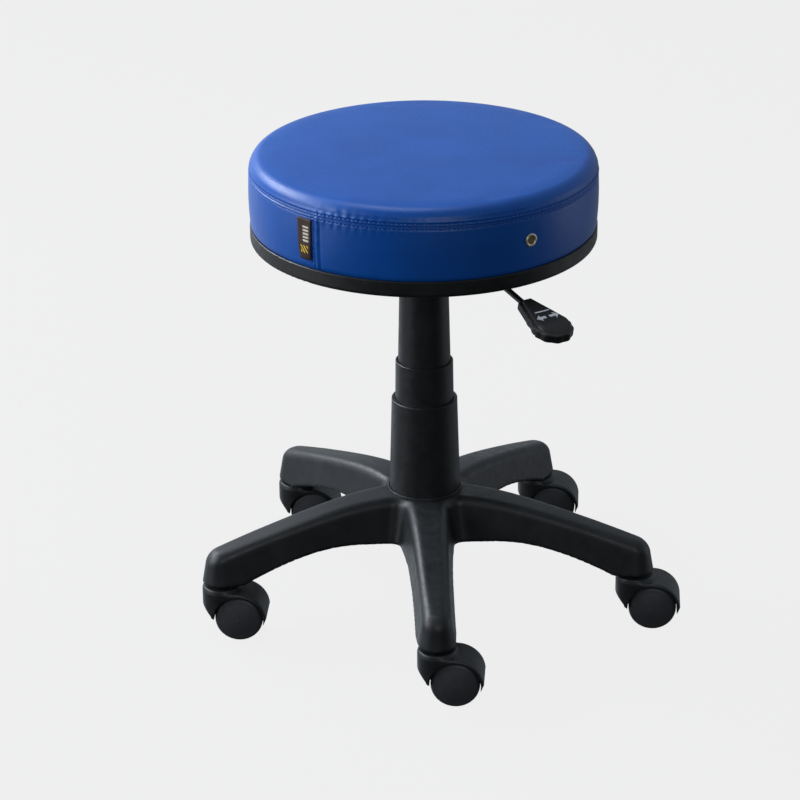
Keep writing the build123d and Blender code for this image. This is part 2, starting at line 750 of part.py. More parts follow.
def caster_wheel(side):
    """Nylon wheel with a domed face, closed over the axle's end."""
    inner = web_half + 0.5
    rim = wheel_outer_face - wheel_dome
    shoulder = wheel_radius - wheel_edge
    bend = wheel_edge * (1 - cos(pi / 4))
    dome_radius = (shoulder**2 + wheel_dome**2) / (2 * wheel_dome)
    half_way = wheel_outer_face - dome_radius + sqrt(dome_radius**2 - (shoulder / 2) ** 2)
    tread = (
        Line((0, inner), (wheel_radius - 1.0, inner))
        + Line((wheel_radius - 1.0, inner), (wheel_radius, inner + 1.0))
        + Line((wheel_radius, inner + 1.0), (wheel_radius, rim - wheel_edge))
        + ThreePointArc((wheel_radius, rim - wheel_edge), (wheel_radius - bend, rim - bend), (shoulder, rim))
        + ThreePointArc((shoulder, rim), (shoulder / 2, half_way), (0, wheel_outer_face))
        + Line((0, wheel_outer_face), (0, inner))
    )
    wheel = revolve(make_face(Plane.XZ * tread), Axis.Z)
    wheel -= rod(axle_radius + running, 0, wheel_outer_face - axle_cover + 0.2)
    return Pos(caster_trail, 0, axle_z) * Rot(-90 * side, 0, 0) * wheel


def at_arm(index, piece):
    """Places a piece drawn on the swivel axis under one arm's end."""
    azimuth = radians(arm_azimuth(index))
    spot = Pos(stem_circle * cos(azimuth), stem_circle * sin(azimuth), 0)
    return spot * Rot(0, 0, caster_heading) * piece


# ---- the pieces ------------------------------------------------------------------------------
pieces = {
    "star_base": star_base(),
    "hub_ring": hub_ring(),
    "column_tube": column_tube(),
    "guide_bush": guide_bush(),
    "bearing_race_lower": bearing_race(bearing_z),
    "bearing_race_upper": bearing_race(race_upper_z),
    "bearing_cage": bearing_cage(),
    "bearing_balls": bearing_balls(),
    "bumper": bumper(),
    "piston_rod": piston_rod(),
    "retaining_clip": retaining_clip(),
    "retaining_washer": retaining_washer(),
    "gas_cylinder": gas_cylinder(),
    "release_pin": release_pin(),
    "cover_lower": cover_lower(),
    "cover_middle": cover_middle(),
    "cover_upper": cover_upper(),
    "mechanism_box": mechanism_box(),
    "taper_socket": taper_socket(),
    "mount_plate": mount_plate(),
    "mount_bolts": mount_bolts(),
    "lever_rod": lever_rod(),
    "lever_bush": lever_bush(),
    "lever_handle": lever_handle(),
    "seat_tray": seat_tray(),
    "seat_board": seat_board(),
    "tee_nuts": tee_nuts(),
    "seat_foam": seat_foam(),
    "seat_cover": seat_cover(),
    "vent_eyelet": vent_eyelet(),
    "side_tag": side_tag(),
    "stem_grip_rings": Compound([at_arm(index, stem_grip_ring()) for index in range(arm_count)]),
}

hood, stem, axle = caster_hood(), caster_stem(), caster_axle()
wheels = {"near": caster_wheel(-1), "far": caster_wheel(1)}
for index in range(arm_count):
    pieces[f"caster_hood_{index + 1}"] = at_arm(index, hood)
    pieces[f"caster_stem_{index + 1}"] = at_arm(index, stem)
    pieces[f"caster_axle_{index + 1}"] = at_arm(index, axle)
    for name, wheel in wheels.items():
        pieces[f"caster_wheel_{index + 1}_{name}"] = at_arm(index, wheel)

os.makedirs("parts", exist_ok=True)
for name, piece in pieces.items():
    export_step(piece, f"parts/{name}.step")
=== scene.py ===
import json
from math import atan2, cos, hypot, pi, radians, sin, tan

import bpy
import numpy as np
from mathutils import Matrix, Vector

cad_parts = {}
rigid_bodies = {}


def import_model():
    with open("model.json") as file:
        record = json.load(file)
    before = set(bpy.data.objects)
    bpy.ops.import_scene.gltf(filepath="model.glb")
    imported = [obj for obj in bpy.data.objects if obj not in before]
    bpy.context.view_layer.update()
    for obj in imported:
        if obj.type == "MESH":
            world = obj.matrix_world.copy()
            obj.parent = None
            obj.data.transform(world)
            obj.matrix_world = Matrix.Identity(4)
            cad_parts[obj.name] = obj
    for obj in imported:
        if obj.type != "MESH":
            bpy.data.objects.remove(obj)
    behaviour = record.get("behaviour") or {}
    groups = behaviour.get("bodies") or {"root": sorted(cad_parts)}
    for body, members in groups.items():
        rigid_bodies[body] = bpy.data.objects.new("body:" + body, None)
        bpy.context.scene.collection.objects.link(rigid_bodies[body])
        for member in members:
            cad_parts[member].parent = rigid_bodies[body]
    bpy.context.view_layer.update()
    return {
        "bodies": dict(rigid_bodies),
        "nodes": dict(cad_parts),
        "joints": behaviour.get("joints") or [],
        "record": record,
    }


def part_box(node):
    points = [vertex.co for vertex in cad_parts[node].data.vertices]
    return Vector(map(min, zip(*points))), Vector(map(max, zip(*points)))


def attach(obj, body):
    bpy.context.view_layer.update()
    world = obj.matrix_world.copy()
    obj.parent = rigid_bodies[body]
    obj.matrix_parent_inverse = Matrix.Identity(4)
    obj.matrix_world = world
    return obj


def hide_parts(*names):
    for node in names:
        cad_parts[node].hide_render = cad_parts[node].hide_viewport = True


# Pedicure stool. Shapes are worked out in millimetres and become metres in mesh_of().

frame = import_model()
nodes = frame["nodes"]
MM = 0.001


# ---- places read from the frame
def joint(name):
    return next(j for j in frame["joints"] if j["name"] == name)


def joint_point(name):
    return np.array(joint(name)["pos_m"]) / MM


def box(node):
    """Lowest and highest corner of a CAD node, in mm."""
    low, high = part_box(node)
    return np.array(low) / MM, np.array(high) / MM


arm_count = sum(1 for name in frame["bodies"] if name.startswith("caster_"))
stem_circle = float(np.hypot(*joint_point("caster_1_swivel")[:2]))
first_arm = atan2(*joint_point("caster_1_swivel")[1::-1])
to_wheel = joint_point("wheel_1_near_spin") - joint_point("caster_1_swivel")
caster_trail = float(np.hypot(*to_wheel[:2]))
caster_heading = atan2(to_wheel[1], to_wheel[0])
axle_z = float(joint_point("wheel_1_near_spin")[2])
cup_top = float(box("caster_hood_1")[1][2])
arm_end_z = float(box("star_base")[0][2])
hub_lip_top = float(box("star_base")[1][2])
tray_bottom, tray_top = float(box("seat_tray")[0][2]), float(box("seat_tray")[1][2])
seat_top = float(box("seat_cover")[1][2])
lever_joint = joint("lever_tilt")["pos_m"]
lever_azimuth = atan2(lever_joint[1], lever_joint[0])
lever_z = lever_joint[2] / MM


# ---- materials
def linear(hex_colour):
    """sRGB hex to the linear RGBA that a shader socket takes."""
    channels = [int(hex_colour[i : i + 2], 16) / 255 for i in (1, 3, 5)]
    return [c / 12.92 if c <= 0.04045 else ((c + 0.055) / 1.055) ** 2.4 for c in channels] + [1.0]


def add(tree, kind, settings=None, links=None):
    """Adds a node. settings holds attributes and input values, links the sockets that feed its inputs."""
    made = tree.nodes.new("ShaderNode" + kind)
    for name, value in (settings or {}).items():
        if isinstance(name, str) and hasattr(made, name):
            setattr(made, name, value)
        else:
            made.inputs[name].default_value = value
    for name, socket in (links or {}).items():
        tree.links.new(socket, made.inputs[name])
    return made


def per_mm(size):
    """Scale of a noise or Voronoi texture whose features are size mm across, in metre coordinates."""
    return 1.0 / (size * MM)


def per_band(pitch):
    """Scale of a wave texture whose bands repeat every pitch mm; a scale of 1 is 20 radians in a metre."""
    return 2 * pi / (20 * pitch * MM)


def start(name, settings):
    """A new material: its node tree, its shader with fixed values set, and the object coordinates."""
    material = bpy.data.materials.new(name)
    material.use_nodes = True
    tree = material.node_tree
    shader = tree.nodes["Principled BSDF"]
    for socket, value in settings.items():
        shader.inputs[socket].default_value = value
    place = {"Vector": add(tree, "TexCoord").outputs["Object"]}
    return material, tree, shader, place


def feed(tree, shader, colour, shine=None, bumps=()):
    """Feeds a shader: colour is (factor, hex, hex), with the factors of both colours after them where they
    aren't 0.3 and 0.7; shine is (factor, roughness, roughness); bumps are (height, depth in mm)."""
    if colour:
        factor, hex_low, hex_high, low, high = (*colour, 0.3, 0.7)[:5]
        ramp = add(tree, "ValToRGB", None, {"Fac": factor})
        for stop, position, tint in zip(ramp.color_ramp.elements, (low, high), (hex_low, hex_high)):
            stop.position = position
            stop.color = linear(tint)
        tree.links.new(ramp.outputs["Color"], shader.inputs["Base Color"])
    if shine:
        factor, low, high = shine
        settings = {"From Min": 0.3, "From Max": 0.7, "To Min": low, "To Max": high}
        rough = add(tree, "MapRange", settings, {"Value": factor})
        tree.links.new(rough.outputs["Result"], shader.inputs["Roughness"])
    below = {}
    for height, depth in bumps:
        bump = add(tree, "Bump", {"Strength": 1.0, "Distance": depth * MM}, {"Height": height, **below})
        below = {"Normal": bump.outputs["Normal"]}
    if below:
        tree.links.new(below["Normal"], shader.inputs["Normal"])


def moulded_plastic(name, hex_low, hex_high, rough, grain_mm, grain_depth, scuffs=0.0):
    """Injection-moulded black plastic: satin, with the fine grain of a spark-eroded mould, slightly
    paler where hands and shoes have rubbed it."""
    material, tree, shader, place = start(name, {"IOR": 1.49, "Specular IOR Level": 0.5})
    patches, flow, grain, wave = (
        add(tree, "TexNoise", {"Scale": per_mm(size), "Detail": detail}, place).outputs["Fac"]
        for size, detail in ((35, 3.0), (9, 5.0), (grain_mm, 2.0), (18, 1.0))
    )
    shine = (flow, rough - 0.05, rough + 0.08)
    feed(tree, shader, (patches, hex_low, hex_high), shine, [(grain, grain_depth), (wave, scuffs)])
    return material


def vinyl_material():
    """Upholstery vinyl, calendered PVC on knit with an embossed leather grain: a soft, even sheen over a
    strong flat blue, finely pebbled, a little duller in the valleys of the grain."""
    settings = {"IOR": 1.45, "Specular IOR Level": 0.5}
    material, tree, shader, place = start("embossed_vinyl_blue", settings)
    clouds = add(tree, "TexNoise", {"Scale": per_mm(60), "Detail": 2.0}, place).outputs["Fac"]
    pebble_mm = 1.1          # real grain is about 0.7 mm; drawn coarser so that it shows
    pebbles = add(tree, "TexVoronoi", {"Scale": per_mm(pebble_mm)}, place).outputs["Distance"]
    creases = add(tree, "TexNoise", {"Scale": per_mm(3.5), "Detail": 4.0}, place).outputs["Fac"]
    colour = (clouds, "#00499C", "#004FA4", 0.35, 0.65)
    feed(tree, shader, colour, (creases, 0.36, 0.43), [(pebbles, 0.035), (creases, 0.05)])
    return material


def thread_material():
    """Bonded polyester thread dyed to the vinyl: small twisted strands, lighter on the crests of the twist as
    painted highlight and darker in its grooves as painted shade.
    """
    material, tree, shader, place = start("bonded_polyester_thread_blue", {"Roughness": 0.45})
    twist_mm = 3.142         # a real twist is about 1 mm; drawn coarser so that it shows
    twist_and_sheen = add(tree, "TexWave", {"Scale": per_band(twist_mm), "Distortion": 1.0}, place).outputs["Fac"]
    # the same wave raises the twist and paints its crests lighter as painted highlight and its grooves darker
    # as painted shade
    feed(tree, shader, (twist_and_sheen, "#1E52A8", "#3C74C8", 0.2, 0.8), None, [(twist_and_sheen, 0.05)])
    return material


def tag_material(face_x, face_z):
    """Damask-woven polyester tag: dark brown satin ground with a ribbed weave, and plain generic marks in
    cream and yellow yarn. face_x and face_z run from 0 to 1 across and up the tag, kept on the mesh."""
    material, tree, shader, place = start("damask_woven_polyester_brown", {"Roughness": 0.62})
    across = add(tree, "Attribute", {"attribute_name": face_x}).outputs["Fac"]
    up = add(tree, "Attribute", {"attribute_name": face_z}).outputs["Fac"]

    def within(*limits):
        """1 where each of limits, a (socket, centre, half width), holds, and 0 elsewhere."""
        result = None
        for socket, centre, half in limits:
            test = add(tree, "Math", {"operation": "COMPARE", 1: centre, 2: half}, {0: socket})
            if result is not None:
                test = add(tree, "Math", {"operation": "MULTIPLY"}, {0: result, 1: test.outputs[0]})
            result = test.outputs[0]
        return result

    slant = add(tree, "Math", {"operation": "MULTIPLY_ADD", 1: 0.5}, {0: across, 2: up}).outputs[0]
    rung_count, bar_count = 12.0, 8.0
    phases = []
    for along, count in ((up, rung_count), (slant, bar_count)):
        turns = add(tree, "Math", {"operation": "MULTIPLY", 1: count}, {0: along}).outputs[0]
        phases.append(add(tree, "Math", {"operation": "FRACT"}, {0: turns}).outputs[0])
    rungs = within((phases[0], 0.5, 0.3), (across, 0.6, 0.22), (up, 0.62, 0.2))
    bars = within((phases[1], 0.5, 0.2), (across, 0.5, 0.3), (up, 0.25, 0.09))
    # inputs 6 and 7 and output 2 of a Mix node are its two colours and its result
    ground = {"data_type": "RGBA", 6: linear("#33190F"), 7: linear("#CFC6B2")}
    ladder = add(tree, "Mix", ground, {0: rungs}).outputs[2]
    yellow = {"data_type": "RGBA", 7: linear("#E8C41E")}
    colours = add(tree, "Mix", yellow, {0: bars, 6: ladder}).outputs[2]
    tree.links.new(colours, shader.inputs["Base Color"])
    rib_mm = 2.827           # real ribs are 0.45 mm apart; drawn coarser so that they show
    ribs = add(tree, "TexWave", {"bands_direction": "Z", "Scale": per_band(rib_mm)}, place).outputs["Fac"]
    fuzz = add(tree, "TexNoise", {"Scale": per_mm(0.8), "Detail": 3.0}, place).outputs["Fac"]
    feed(tree, shader, None, None, [(ribs, 0.05), (fuzz, 0.05)])
    return material


def plated_metal(name, hex_low, hex_high, rough, grain_mm=2.0):
    """Plated steel: bright where handled, with the faint cloudiness of a barrel-plated batch."""
    material, tree, shader, place = start(name, {"Metallic": 1.0})
    clouds, grain = (
        add(tree, "TexNoise", {"Scale": per_mm(size), "Detail": 3.0}, place).outputs["Fac"]
        for size in (grain_mm * 4, grain_mm)
    )
    feed(tree, shader, (clouds, hex_low, hex_high), (clouds, rough - 0.06, rough + 0.08), [(grain, 0.01)])
    return material


def painted_steel():
    """Black powder coat over pressed steel: satin with a fine orange peel."""
    material, tree, shader, place = start("powder_coated_steel_black", {"Specular IOR Level": 0.5})
    patches, flow, peel = (
        add(tree, "TexNoise", {"Scale": per_mm(size), "Detail": detail}, place).outputs["Fac"]
        for size, detail in ((25, 3.0), (6, 3.0), (1.6, 1.0))
    )
    feed(tree, shader, (patches, "#0E0E0F", "#161617"), (flow, 0.36, 0.46), [(peel, 0.03)])
    return material


def foam_material():
    """Open-cell polyurethane foam: pale yellow, dull and full of small pores, each pore painted darker as
    painted shade.
    """
    material, tree, shader, place = start("polyurethane_foam_cream", {"Roughness": 0.95})
    pores_and_shade = add(tree, "TexVoronoi", {"Scale": per_mm(1.0)}, place).outputs["Distance"]
    # the pits of the pores are painted darker as painted shade inside them
    feed(tree, shader, (pores_and_shade, "#CDBF8C", "#EFE4B8", 0.1, 0.8), None, [(pores_and_shade, 0.4)])
    return material


def plywood_material():
    """Rotary-cut birch plywood: warm pale face with long darker grain."""
    material, tree, shader, place = start("birch_plywood", {"Roughness": 0.7})
    stretched = {"Vector": add(tree, "Mapping", {"Scale": (0.12, 1.0, 1.0)}, place).outputs["Vector"]}
    grain = add(tree, "TexNoise", {"Scale": per_mm(4), "Detail": 6.0}, stretched).outputs["Fac"]
    feed(tree, shader, (grain, "#A07848", "#D8B684"), None, [(grain, 0.08)])
    return material


def rubber_material():
    """Black nitrile rubber: dull and slightly dusty."""
    material, tree, shader, place = start("nitrile_rubber_black", {"Roughness": 0.8})
    dust, grain = (
        add(tree, "TexNoise", {"Scale": per_mm(size), "Detail": 3.0}, place).outputs["Fac"]
        for size in (5, 1.0)
    )
    feed(tree, shader, (dust, "#111111", "#1D1C1B"), None, [(grain, 0.03)])
    return material


def acetal_material():
    """Natural acetal: milky white, waxy, turned with fine tool marks."""
    settings = {"Roughness": 0.42, "Subsurface Weight": 0.1, "Subsurface Scale": 2 * MM}
    material, tree, shader, place = start("acetal_natural_white", settings)
    milk = add(tree, "TexNoise", {"Scale": per_mm(12), "Detail": 3.0}, place).outputs["Fac"]
    tool_mm = 3.77           # real tool marks are under 1 mm apart; drawn coarser so that they show
    rings = add(tree, "TexWave", {"bands_direction": "Z", "Scale": per_band(tool_mm)}, place).outputs["Fac"]
    feed(tree, shader, (milk, "#D9D8CF", "#E9E8E0"), None, [(rings, 0.02)])
    return material


def gauze_material():
    """Brass wire gauze behind the vent: olive brown wires, with the holes of its mesh painted darker as
    painted shade of the space behind them.
    """
    material, tree, shader, place = start("brass_wire_gauze", {"Roughness": 0.6, "Metallic": 0.4})
    wires_and_hole_shade = add(tree, "TexVoronoi", {"Scale": per_mm(1.0), "Randomness": 0.15}, place).outputs["Distance"]
    # the holes between the wires are painted darker as painted shade of the pocket behind the gauze
    feed(tree, shader, (wires_and_hole_shade, "#3B3520", "#8C8058", 0.15, 0.6), None, [(wires_and_hole_shade, 0.2)])
    return material


def mark_material():
    """Pad-printed mark: matt light grey ink, thin enough to let the plastic's grain through."""
    material, tree, shader, place = start("pad_printed_ink_grey", {"Roughness": 0.6})
    speckle, grain = (
        add(tree, "TexNoise", {"Scale": per_mm(size), "Detail": 3.0}, place).outputs["Fac"]
        for size in (1.2, 0.9)
    )
    feed(tree, shader, (speckle, "#B4BAC0", "#D5DADF"), None, [(grain, 0.02)])
    return material


TAG_ACROSS, TAG_UP = "tag_across", "tag_up"
column_plastic = moulded_plastic("moulded_polypropylene_black", "#161718", "#1C1D1F", 0.42, 1.1, 0.02)
tray_plastic = moulded_plastic("moulded_abs_black", "#0E0E0E", "#131313", 0.46, 1.3, 0.03)
base_nylon = moulded_plastic("moulded_glass_filled_nylon_black", "#17191A", "#212426", 0.45, 1.6, 0.035, 0.05)
wheel_nylon = moulded_plastic("moulded_nylon_wheel_black", "#38393B", "#414245", 0.46, 1.2, 0.03, 0.03)
handle_plastic = moulded_plastic("moulded_acetal_handle_black", "#09090A", "#0E0E0F", 0.5, 0.9, 0.02)
vinyl = vinyl_material()
thread = thread_material()
nickel = plated_metal("nickel_plated_brass", "#D8CCB0", "#F2E9D2", 0.42, 1.0)
foam = foam_material()
gauze = gauze_material()
ink = mark_material()
tag_cloth = tag_material(TAG_ACROSS, TAG_UP)

slot_materials = {
    "vinyl_cover": vinyl,
    "foam": foam,
    "plywood": plywood_material(),
    "black_plastic": column_plastic,
    "black_nylon": base_nylon,
    "wheel_nylon": wheel_nylon,
    "black_steel": painted_steel(),
    "zinc_steel": plated_metal("zinc_plated_steel", "#8D8F90", "#B4B5B2", 0.38),
    "chromed_steel": plated_metal("hard_chromed_steel", "#B8BABD", "#D2D4D6", 0.14),
    "rubber": rubber_material(),
    "bush_plastic": acetal_material(),
    "nickel": nickel,
    "woven_tag": tag_cloth,
}


def dress_cad_nodes():
    """Gives each CAD node the material of the slot that the record names for it, except the seat tray, which
    gets the darker tray plastic.
    """
    slot_of = {entry["node"]: entry["material_slot"] for entry in frame["record"]["subparts"]}
    for name, piece in nodes.items():
        material = slot_materials[slot_of[name]]
        piece.data.materials.clear()
        piece.data.materials.append(tray_plastic if name == "seat_tray" else material)


# ---- meshes
def mesh_of(name, points, faces, material):
    """A smooth-shaded mesh from points in mm."""
    mesh = bpy.data.meshes.new(name)
    mesh.from_pydata((np.asarray(points) * MM).tolist(), [], [list(face) for face in faces])
    mesh.polygons.foreach_set("use_smooth", [True] * len(mesh.polygons))
    mesh.materials.append(material)
    mesh.update()
    return mesh


def place_mesh(name, mesh, matrix=Matrix()):
    """A piece that shows a mesh, placed by a matrix in metres."""
    piece = bpy.data.objects.new(name, mesh)
    bpy.context.scene.collection.objects.link(piece)
    piece.matrix_world = matrix
    return piece


def build(name, points, faces, material, matrix=Matrix()):
    return place_mesh(name, mesh_of(name, points, faces, material), matrix)


def finish_piece(piece, body, slot, *replaced):
    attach(piece, body)
    if replaced:
        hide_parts(*replaced)


def grid_faces(rows, columns, wrap=True):
    """Quads of a grid of points, row by row, whose columns close on themselves if wrap is set."""
    last = columns if wrap else columns - 1
    row, column = np.meshgrid(np.arange(rows - 1), np.arange(last), indexing="ij")
    here = (row * columns + column).ravel()
    beside = (row * columns + (column + 1) % columns).ravel()
    return np.stack([here, beside, beside + columns, here + columns], axis=1)


def turned(radius, height, turn):
    """Points about Z, row by row, from columns or grids of radius and height and one row of angles."""
    level = height + np.zeros_like(turn)
    return np.stack([radius * np.cos(turn), radius * np.sin(turn), level], axis=2).reshape(-1, 3)


def lathe(outline, steps):
    """Points and quads of an outline of (radius, height) turned about Z, open at its two ends."""
    radius, height = np.array(outline, float).T[:, :, None]
    points = turned(radius, height, np.linspace(0, 2 * pi, steps, endpoint=False))
    return points, grid_faces(len(outline), steps)


def arc(centre, radius, begin, end, count):
    """Points of an arc, with angles in degrees."""
    turn = np.radians(np.linspace(begin, end, count))
    return [(centre[0] + radius * cos(a), centre[1] + radius * sin(a)) for a in turn]


def join_parts(parts):
    """One set of points and faces from several."""
    points, faces, count = [], [], 0
    for part_points, part_faces in parts:
        points.append(np.asarray(part_points))
        faces += [[corner + count for corner in face] for face in part_faces]
        count += len(part_points)
    return np.concatenate(points), faces


# ---- moulded shapes: signed distances in mm, and a mesher for them
def union_blend(one, other, reach):
    """Union of two distances with a concave fillet about as wide as reach."""
    near = np.maximum(reach - np.abs(one - other), 0) / reach
    return np.minimum(one, other) - near * near * reach / 4


def rounded_edge(one, other, radius):
    """Intersection of two distances, with its edge rounded."""
    corner = np.hypot(np.maximum(one + radius, 0), np.maximum(other + radius, 0))
    return np.minimum(np.maximum(one, other), -radius) + corner


def tapered_plan(along, across, near_radius, far_radius, length):
    """Distance to two circles, length apart, and the tangents that join them."""
    lean = (near_radius - far_radius) / length
    upright = (1 - lean * lean) ** 0.5
    side = np.abs(across)
    place = upright * along - lean * side
    near = np.hypot(along, side) - near_radius
    far = np.hypot(along - length, side) - far_radius
    straight = upright * side + lean * along - near_radius
    return np.where(place < 0, near, np.where(place > upright * length, far, straight))


def surface_net(field, low, high, cell):
    """Points and quads where field is zero: one point in each crossed cell, then moved onto the surface."""
    axes = [np.arange(a, b + cell, cell) for a, b in zip(low, high)]
    value = field(*np.meshgrid(*axes, indexing="ij"))
    inside = value < 0
    shape = tuple(n - 1 for n in value.shape)
    total = np.zeros((3, shape[0] * shape[1] * shape[2]))
    count = np.zeros(total.shape[1])
    loops = []
    for axis in range(3):
        lower = tuple(slice(0, -1) if k == axis else slice(None) for k in range(3))
        upper = tuple(slice(1, None) if k == axis else slice(None) for k in range(3))
        crossed = inside[lower] != inside[upper]
        corner = np.argwhere(crossed)
        near, far = value[lower][crossed], value[upper][crossed]
        point = corner.astype(float)
        point[:, axis] += near / (near - far)
        first, second = (k for k in range(3) if k != axis)
        around = []
        for back_first, back_second in ((0, 0), (1, 0), (1, 1), (0, 1)):
            cells = corner.copy()
            cells[:, first] -= back_first
            cells[:, second] -= back_second
            flat = np.ravel_multi_index(tuple(cells.T), shape)
            count += np.bincount(flat, minlength=len(count))
            for k in range(3):
                total[k] += np.bincount(flat, weights=point[:, k], minlength=len(count))
            around.append(flat)
        loop = np.stack(around, axis=1)
        outward = inside[lower][crossed] != (axis == 1)
        loops.append(np.where(outward[:, None], loop, loop[:, ::-1]))
    used = np.flatnonzero(count)
    number = np.full(len(count), -1)
    number[used] = np.arange(len(used))
    points = (total[:, used] / count[used]).T * cell + np.array(low)
    nudge = 0.02 * cell
    for _ in range(4):
        here = field(*points.T)
        slope = np.stack([field(*(points + nudge * np.eye(3)[k]).T) - here for k in range(3)], axis=1) / nudge
        move = here[:, None] * slope / np.maximum((slope**2).sum(axis=1, keepdims=True), 0.2)
        points = points - np.clip(move, -0.4 * cell, 0.4 * cell)
    return points, number[np.concatenate(loops)]


# ---- star base
hub_radius = 40.0
hub_flare = 45.0
hub_foot_radius = 31.5
hub_lip = 2.3                    # the lip's height over the hub's top
hub_top = hub_lip_top - hub_lip
arm_rise = hub_top - arm_end_z
hub_flare_z = arm_end_z + 0.32 * arm_rise
hub_foot_z = hub_flare_z - 9.0
tube_radius = 25.0
root_half = 36.5                 # half the arm's width at its root, at the height of its end face
nose_radius = 19.75
draft = radians(10.0)
top_rounding, nose_rounding = 7.5, 9.5
belly_rounding, foot_rounding = 2.2, 1.0
nose_begins, nose_run = 0.82, 0.22    # where the crown's rounding widens, as shares of the stem circle
arm_fillet, hub_fillet = 16.0, 12.0   # reach of the blends between two arms, and of the arms with the hub
arm_skin, arm_wall, hub_wall, rib = 4.4, 4.2, 4.0, 3.6
rib_places = (0.38, 0.53, 0.68, 0.83)  # of the cross ribs, as shares of the stem circle
stem_radius, stem_depth, boss_radius = 5.5, 22.0, 10.5
lip_inner, lip_outer, lip_depth, lip_rounding = 37.33, 39.13, 8.0, 0.6
base_cell = 2.25                       # spacing of the grid that its surface is found on
# Drop of the crown and rise of the belly along the arm, as shares of the stem circle and the arm's rise.
crown_drop = ((0.17, 0.0), (0.386, 0.035), (0.575, 0.148), (0.724, 0.255))
crown_drop += ((0.878, 0.378), (1.01, 0.488), (1.12, 0.59))
belly_rise = ((0.19, 0.325), (0.33, 0.36), (0.483, 0.38), (0.597, 0.338))
belly_rise += ((0.711, 0.246), (0.825, 0.127), (0.92, 0.0))


def fair_curve(points, power):
    """Smooth polynomial through (share, height) points, held level before the first and after the last."""
    place, height = np.array(points).T
    curve = np.polyfit(place, height, power)
    return lambda share: np.polyval(curve, np.clip(share, place[0], place[-1]))


crown_curve = fair_curve(crown_drop, 4)
belly_curve = fair_curve(belly_rise, 5)


def star_base_field(x, y, z):
    """Distance to the hub and arms, from the nearest arm and the one beside it."""
    step = 2 * pi / arm_count
    radius = np.hypot(x, y)
    turn = (np.arctan2(y, x) - first_arm + step / 2) % step - step / 2
    beyond = step - np.abs(turn)
    along, across = radius * np.cos(turn), radius * np.sin(turn)
    next_along, next_across = radius * np.cos(beyond), radius * np.sin(beyond)
    lean_in = (z - arm_end_z) * tan(draft)
    nearest = tapered_plan(along, across, root_half, nose_radius, stem_circle) + lean_in
    beside = tapered_plan(next_along, next_across, root_half, nose_radius, stem_circle) + lean_in
    arms = union_blend(nearest, beside, arm_fillet) * cos(draft)
    flare = (hub_top - z) * (hub_flare - hub_radius) / (hub_top - hub_flare_z)
    walls = union_blend(arms, radius - hub_radius - flare, hub_fillet)
    crown = z - (hub_top - arm_rise * crown_curve(radius / stem_circle))
    belly = (arm_end_z + arm_rise * np.maximum(belly_curve(radius / stem_circle), 0)) - z
    toward_nose = np.clip((radius / stem_circle - nose_begins) / nose_run, 0, 1)
    rounding = top_rounding + (nose_rounding - top_rounding) * toward_nose
    crown_lean = 0.94        # the crown slopes along the arm, so its upright distance is too long
    solid = rounded_edge(rounded_edge(walls, crown_lean * crown, rounding), belly, belly_rounding)
    foot = rounded_edge(radius - hub_foot_radius, hub_foot_z - z, foot_rounding)
    solid = np.minimum(solid, np.maximum(foot, z - hub_flare_z - 3.0))
    hollow = rounded_edge(arms + arm_wall, crown + arm_skin, rounding - arm_wall)
    hollow = np.maximum(hollow, hub_flare + hub_wall - radius)
    hollow = np.maximum(hollow, rib / 2 - np.abs(across))
    for share in rib_places:
        hollow = np.maximum(hollow, rib / 2 - np.abs(along - share * stem_circle))
    from_stem = np.hypot(along - stem_circle, across)
    hollow = np.maximum(hollow, boss_radius - from_stem)
    socket = np.maximum(from_stem - stem_radius, z - arm_end_z - stem_depth)
    solid = np.maximum(solid, -np.minimum(hollow, socket))
    return np.maximum(solid, tube_radius - radius)


def star_base():
    """Hub and five arms in one moulding: rounded crown edges, drafted flanks, ribs underneath."""
    reach, room = stem_circle + nose_radius + 6.0, 5.0
    low, high = (-reach, -reach, arm_end_z - room), (reach, reach, hub_top + room)
    moulding = surface_net(star_base_field, low, high, base_cell)
    lip_foot, edge_z = hub_top - lip_depth, hub_lip_top - lip_rounding
    lip = [(lip_inner, lip_foot), (lip_outer, lip_foot)]
    lip += arc((lip_outer - lip_rounding, edge_z), lip_rounding, 0, 90, 4)
    lip += arc((lip_inner + lip_rounding, edge_z), lip_rounding, 90, 180, 4) + [(lip_inner, lip_foot)]
    points, faces = join_parts([moulding, lathe(lip, 180)])
    piece = build("star_base_moulding", points, faces, base_nylon)
    finish_piece(piece, "base", "black_nylon", "star_base")


# ---- casters
wheel_radius = 25.0
wheel_inner_face, wheel_outer_face = 7.0, 21.3
wheel_dome, wheel_edge = 2.8, 5.5
hood_half, hood_wall, hood_gap = 21.5, 3.3, 1.0
web_half, web_boss = 6.5, 11.0
cup_radius, cup_side = 19.5, 20.0
hood_rounding, cup_rounding, cup_fillet = 2.2, 1.8, 4.0
flank_run = 16.0                 # over which the cup's width grows to the hood's
toe_gap, tail_rise = 0.5, 3.0    # from the chamfer's toe to the wheels, and from the axle to the tail's top
stem_foot_radius, stem_foot = 4.05, 20.0
hood_tail = radians(20.0)        # how far the hood reaches below the axle behind the wheels
hood_cell = 0.8


